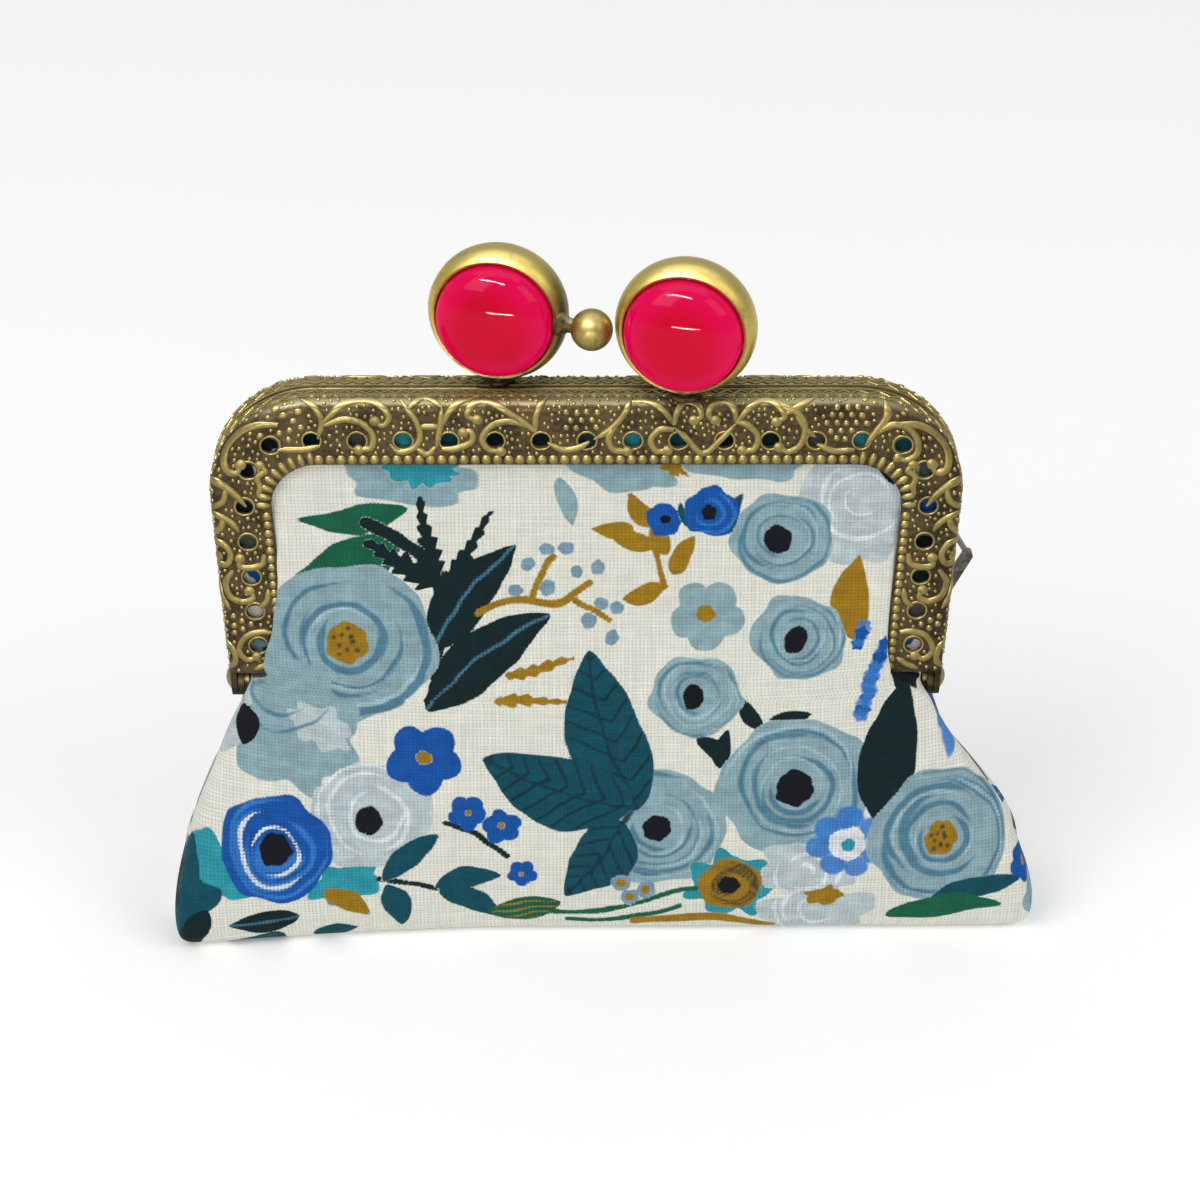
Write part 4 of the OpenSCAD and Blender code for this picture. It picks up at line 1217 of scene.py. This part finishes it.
    # the stretch that falls in the middle of the rear panel
    page.blob("petal", 50.5, 2.5, 6.5, 4.5, 0.2, 0.10)
    page.rings("white", 50.5, 2.5, 5.5, 1.4, 0.5, 0.3)
    page.blob("aqua", 53.0, 0.6, 3.6, 2.2, 0.1, 0.12, 9)
    page.leaf("green", 57.0, 8.5, 11.0, 5.0, 2.5, brush="aqua")
    page.stem("leaf", [(62.0, 25.5), (61.0, 19.0), (62.5, 13.5), (66.0, 9.5)], 1.3)
    page.leaf("leaf", 61.2, 20.0, 11.5, 4.6, -2.3, vein="shade")
    page.leaf("leaf", 62.0, 15.5, 11.0, 4.4, -1.15, vein="shade")
    page.leaf("leaf", 61.6, 22.5, 12.0, 5.0, -0.45, vein="shade")
    page.rose(73.0, 6.5, 7.2, middle="navy", middle_r=0.22)
    page.poppy(53.2, 23.6, 5.8, tilt=0.3)
    page.star(63.5, 4.0, 3.4, 5)
    page.star(68.4, 15.8, 2.5, 5, angle=0.7)
    page.stem("mustard", [(79.5, 13.5), (75.8, 17.4), (74.5, 22.5)], 1.0)
    page.stem("mustard", [(76.2, 16.6), (72.6, 15.2)], 0.8)
    page.leaf("mustard", 75.0, 21.0, 5.5, 2.4, 2.7, vein="leaf")
    page.leaf("mustard", 78.4, 14.6, 5.0, 2.2, 0.9, vein="leaf")
    page.berries("grey", [(71.2, 14.2), (70.8, 17.0), (78.8, 18.8), (77.0, 20.8)], 0.85)
    page.poppy(80.0, 26.0, 4.6, tilt=0.8)
    page.leaf("teal", 66.5, 33.0, 13.0, 6.4, -0.75, vein="vein", side_veins=6)
    page.leaf("teal", 65.5, 33.5, 11.0, 6.0, -2.25, vein="vein", side_veins=6)

    # the stretch that goes round the side and under the base
    page.rose(56.5, 40.0, 6.8, base="pale", stroke="shade", middle="mustard")
    page.poppy(58.0, 56.0, 5.2)
    page.leaf("teal", 62.0, 30.0, 12.0, 5.4, 1.9, vein="vein", side_veins=6)
    page.star(53.0, 52.0, 2.6, 5)
    page.leaf("leaf", -56.0, 44.0, 11.0, 4.4, -1.2, vein="teal")
    page.poppy(-53.5, 45.0, 5.0, base="petal", stroke="white")
    page.star(-58.0, 55.0, 3.6, 5)
    page.rose(-60.0, 30.0, 6.5, middle="navy", stroke="shade")
    page.rose(-48.0, 70.0, 8.0)
    page.poppy(-30.0, 70.0, 6.0)
    page.leaf("teal", -20.0, 67.0, 14.0, 6.0, 0.1, vein="vein", side_veins=6)
    page.star(0.0, 69.0, 4.0, 5)
    page.rose(14.0, 69.5, 7.0, middle="navy", stroke="shade")
    page.leaf("leaf", 24.0, 66.0, 13.0, 5.0, 0.3, vein="pale")
    page.poppy(46.0, 68.0, 6.0)


def print_cloth(piece, shift):
    u, v = read_thread(piece)
    page = FlowerPrint(u, v, 5)
    for repeat in (-PRINT_REPEAT, 0.0, PRINT_REPEAT):
        if abs(shift + repeat) < PRINT_REPEAT + 6:
            page.shift = shift + repeat
            paint_flowers(page)
    page.shift = 0.0
    paint_under_holes(page)
    for name in INKS:
        field = piece.data.attributes.new("ink_" + name, "FLOAT", "POINT")
        field.data.foreach_set("value", page.ink[name].astype(np.float32))


def plain_weave_group():
    """Over-and-under threads: a height, a mask for painted shade in the pinholes and lines between threads,
    and thread tone.
    """
    group, start, end = new_group(
        "plain_weave",
        [("Thread", "NodeSocketVector", None), ("Across", "NodeSocketFloat", 0.44),
         ("Along", "NodeSocketFloat", 0.40)],
        [("Height", "NodeSocketFloat"), ("Gap", "NodeSocketFloat"), ("Tone", "NodeSocketFloat")],
    )
    axes = group.nodes.new("ShaderNodeSeparateXYZ")
    group.links.new(start.outputs["Thread"], axes.inputs[0])
    slub = noise(group, start.outputs["Thread"], 0.9, 2.0)
    wander = sum_of(group, "MULTIPLY", sum_of(group, "SUBTRACT", slub, 0.5), 0.22)

    def thread_wave(axis, pitch):
        place = sum_of(group, "ADD", axes.outputs[axis], wander)
        turns = sum_of(group, "DIVIDE", place, start.outputs[pitch])
        return sum_of(group, "SINE", sum_of(group, "MULTIPLY", turns, math.pi))

    sin_a, sin_b = thread_wave("X", "Across"), thread_wave("Y", "Along")
    round_a, round_b = sum_of(group, "ABSOLUTE", sin_a), sum_of(group, "ABSOLUTE", sin_b)
    over = sum_of(group, "MULTIPLY", sin_a, sin_b)
    upper = sum_of(group, "MULTIPLY", round_a, sum_of(group, "MULTIPLY_ADD", over, 0.35, 0.65))
    lower = sum_of(group, "MULTIPLY", round_b, sum_of(group, "MULTIPLY_ADD", over, -0.35, 0.65))
    group.links.new(sum_of(group, "MAXIMUM", upper, lower), end.inputs["Height"])
    dip_a = sum_of(group, "SUBTRACT", 1.0, round_a)
    dip_b = sum_of(group, "SUBTRACT", 1.0, round_b)
    hole = sum_of(group, "MULTIPLY", dip_a, dip_b)
    seam_a = sum_of(group, "POWER", dip_a, 4.0)
    seam_b = sum_of(group, "POWER", dip_b, 4.0)
    # painted shade along the dips between threads and in the pinholes
    thread_line_shade = sum_of(group, "MULTIPLY", sum_of(group, "MAXIMUM", seam_a, seam_b), 0.30)
    pinhole_shade = step_between(group, hole, 0.22, 0.75)
    group.links.new(sum_of(group, "MAXIMUM", pinhole_shade, thread_line_shade), end.inputs["Gap"])
    stretch = group.nodes.new("ShaderNodeMapping")
    stretch.inputs["Scale"].default_value = (2.27, 0.16, 1)
    group.links.new(start.outputs["Thread"], stretch.inputs["Vector"])
    across = group.nodes.new("ShaderNodeMapping")
    across.inputs["Scale"].default_value = (0.16, 2.5, 1)
    group.links.new(start.outputs["Thread"], across.inputs["Vector"])
    tone = sum_of(group, "ADD", noise(group, stretch.outputs[0], 1.0, 1.0),
                  noise(group, across.outputs[0], 1.0, 1.0))
    group.links.new(sum_of(group, "SUBTRACT", tone, 1.0), end.inputs["Tone"])
    return group


plain_weave = plain_weave_group()


def weave_along_threads(tree):
    """The weave laid along a cloth's own threads."""
    thread = tree.nodes.new("ShaderNodeAttribute")
    thread.attribute_name = "thread"
    weave = tree.nodes.new("ShaderNodeGroup")
    weave.node_tree = plain_weave
    tree.links.new(thread.outputs["Vector"], weave.inputs["Thread"])
    return thread, weave


def dimmed(tree, colour, amount):
    node = tree.nodes.new("ShaderNodeVectorMath")
    node.operation = "SCALE"
    tree.links.new(colour, node.inputs[0])
    tree.links.new(amount, node.inputs["Scale"])
    return node.outputs[0]


def srgb(r, g, b):
    return tuple(c / 12.92 if c <= 0.04045 else ((c + 0.055) / 1.055) ** 2.4 for c in (r, g, b))


INK_COLOURS = {
    "aqua": srgb(0.17, 0.60, 0.66), "pale": srgb(0.56, 0.68, 0.71), "grey": srgb(0.50, 0.62, 0.69),
    "petal": srgb(0.75, 0.80, 0.81), "shade": srgb(0.29, 0.49, 0.58), "gleam": srgb(0.69, 0.80, 0.83),
    "teal": srgb(0.0, 0.30, 0.36), "vein": srgb(0.01, 0.15, 0.18), "leaf": srgb(0.0, 0.13, 0.14),
    "green": srgb(0.04, 0.38, 0.27), "cobalt": srgb(0.03, 0.33, 0.66), "azure": srgb(0.20, 0.49, 0.80),
    "mustard": srgb(0.63, 0.48, 0.07), "white": srgb(0.88, 0.90, 0.91), "navy": srgb(0.02, 0.04, 0.09),
}


def canvas_finish():
    """Ivory plain-weave canvas with the flower print soaked into its threads."""
    material, tree, shader = new_finish("flower_canvas")
    thread, weave = weave_along_threads(tree)
    brush_map = tree.nodes.new("ShaderNodeMapping")
    brush_map.inputs["Scale"].default_value = (0.42, 0.60, 1)
    tree.links.new(thread.outputs["Vector"], brush_map.inputs["Vector"])
    wash = noise(tree, brush_map.outputs[0], 1.0, 4.0, 0.6)
    bleed = sum_of(tree, "MULTIPLY", sum_of(tree, "SUBTRACT", weave.outputs["Height"], 0.6), 0.16)
    colour = mix_colours(tree, step_between(tree, wash, 0.3, 0.7),
                         srgb(0.875, 0.875, 0.825), srgb(0.85, 0.855, 0.81))
    for name in INKS:
        field = tree.nodes.new("ShaderNodeAttribute")
        field.attribute_name = "ink_" + name
        soaked = sum_of(tree, "ADD", field.outputs["Fac"], bleed)
        if name in SOFT_INKS:
            cover = step_between(tree, soaked, -0.15, 0.20, 0.0, SOFT_INKS[name])
        else:
            cover = step_between(tree, soaked, -0.07, 0.11)
        tone = INK_COLOURS[name]
        deep = tuple(c * 0.80 for c in tone)
        shade = mix_colours(tree, step_between(tree, wash, 0.35, 0.68), deep, tone)
        colour = mix_colours(tree, cover, colour, shade)
    toned = sum_of(tree, "MULTIPLY_ADD", weave.outputs["Tone"], 0.26, 1.0)
    # painted shade: the colour is darkened in the gaps between threads
    gap_shade = sum_of(tree, "MULTIPLY_ADD", weave.outputs["Gap"], -0.56, 1.05)
    tree.links.new(dimmed(tree, dimmed(tree, colour, toned), gap_shade), shader.inputs["Base Color"])
    rough_up(tree, shader, weave.outputs["Height"], 0.00007, 0.9)
    shader.inputs["Roughness"].default_value = 0.88
    shader.inputs["Specular IOR Level"].default_value = 0.12
    shader.inputs["Sheen Weight"].default_value = 0.05
    shader.inputs["Sheen Roughness"].default_value = 0.5
    return material


flower_canvas = canvas_finish()


# The cloth leaves the pouch's body below the hinge. Here each cloth piece only has its transform baked into
# its mesh.
def follow_half(piece):
    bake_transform(piece)


for name, half, rear, shift in (("front_canvas", "front_half", False, 0.0),
                                ("rear_canvas", "rear_half", True, HALF_PANEL)):
    canvas_points, canvas_thread = canvas_grid(96, 62, rear)
    panel = cloth_mesh(name, canvas_points, canvas_thread, rear)
    smooth_cloth(panel, 2)
    print_cloth(panel, shift)
    panel.data.materials.append(flower_canvas)
    follow_half(panel)
    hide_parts("outer_" + half[:-5] + "_upper", "outer_" + half[:-5] + "_lower")


# ---------------------------------------------------------------- fleece and lining
# A thin fleece behind the canvas gives the purse its body. A plain ivory cotton lining faces
# the inside. Both follow the canvas from the channel to the base.
def inner_points(depth, columns, rows, rear):
    """The canvas's points moved in by a depth in mm, and kept clear of the frame and the base."""
    points, thread = canvas_grid(columns, rows, rear)
    along = np.gradient(points, axis=1)
    down = np.gradient(points, axis=0)
    normal = np.cross(along, down)
    normal /= np.linalg.norm(normal, axis=2, keepdims=True) + 1e-9
    if normal[rows // 3, columns // 2, 1] < 0:
        normal = -normal
    moved = points + normal * depth
    level = points[:, :, 2]
    right, left = (WIDE_R_REAR, WIDE_L_REAR) if rear else (WIDE_R, WIDE_L)
    wide = np.where(points[:, :, 0] > 0, along_levels(level, right), along_levels(level, left)) - depth
    reach = np.abs(moved[:, :, 0])
    # behind the leg's lip the layer stays inside the channel; low down it stays inside the canvas
    lip = lip_at(level) - 1.0 - 0.3 * depth
    behind_lip = (level > 30.5) & (level < 60) & (reach > np.minimum(wide, lip) - 0.1)
    moved[:, :, 1] = np.where(behind_lip, np.maximum(moved[:, :, 1], -2.65 + 0.6 * depth), moved[:, :, 1])
    inside = np.sign(moved[:, :, 0]) * np.minimum(reach, wide)
    moved[:, :, 0] = np.where(level <= HINGE_LEVEL, inside, moved[:, :, 0])
    moved[:, :, 1] = np.minimum(moved[:, :, 1], -0.15)
    moved[:, :, 2] = np.maximum(moved[:, :, 2], 0.3 + depth)
    return moved, thread


def soft_finish(name, light, dark, across, along, sheen):
    """A plain cloth of two close tones, the darker one laid in random patches and as painted shade in the
    gaps between threads, with its own thread widths in mm.
    """
    material, tree, shader = new_finish(name)
    weave = weave_along_threads(tree)[1]
    weave.inputs["Across"].default_value = across
    weave.inputs["Along"].default_value = along
    uneven = sum_of(tree, "MULTIPLY", weave.outputs["Tone"], -0.3)
    # painted shade: the dark tone goes into the gaps between threads, with random unevenness on top
    tone = sum_of(tree, "MULTIPLY_ADD", weave.outputs["Gap"], 0.6, uneven, clamp=True)
    tree.links.new(mix_colours(tree, tone, light, dark), shader.inputs["Base Color"])
    rough_up(tree, shader, weave.outputs["Height"], 0.00006)
    shader.inputs["Roughness"].default_value = 0.92
    shader.inputs["Sheen Weight"].default_value = sheen
    return material


lining_cotton = soft_finish("lining_cotton_weave", srgb(0.90, 0.88, 0.82), srgb(0.66, 0.63, 0.56),
                            0.36, 0.34, 0.1)
fleece_white = soft_finish("fleece_felt", srgb(0.92, 0.92, 0.90), srgb(0.78, 0.78, 0.76), 0.9, 0.9, 0.3)
for layer, depth, thick, material, slot in (("fleece", 0.42, 0.35, fleece_white, "fleece"),
                                            ("lining", 1.05, 0.22, lining_cotton, "lining_cotton")):
    for half, rear in (("front_half", False), ("rear_half", True)):
        layer_points, layer_thread = inner_points(depth, 72, 48, rear)
        sheet = cloth_mesh(half[:-5] + "_" + layer, layer_points, layer_thread, rear)
        thicken = sheet.modifiers.new("thicken", "SOLIDIFY")
        thicken.thickness = thick / 1000
        thicken.offset = -1
        select_only(sheet)
        bpy.ops.object.modifier_apply(modifier="thicken")
        smooth_cloth(sheet, 0)
        sheet.data.materials.append(material)
        follow_half(sheet)
        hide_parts(layer + "_" + half[:-5] + "_upper", layer + "_" + half[:-5] + "_lower")


deselect_everything()
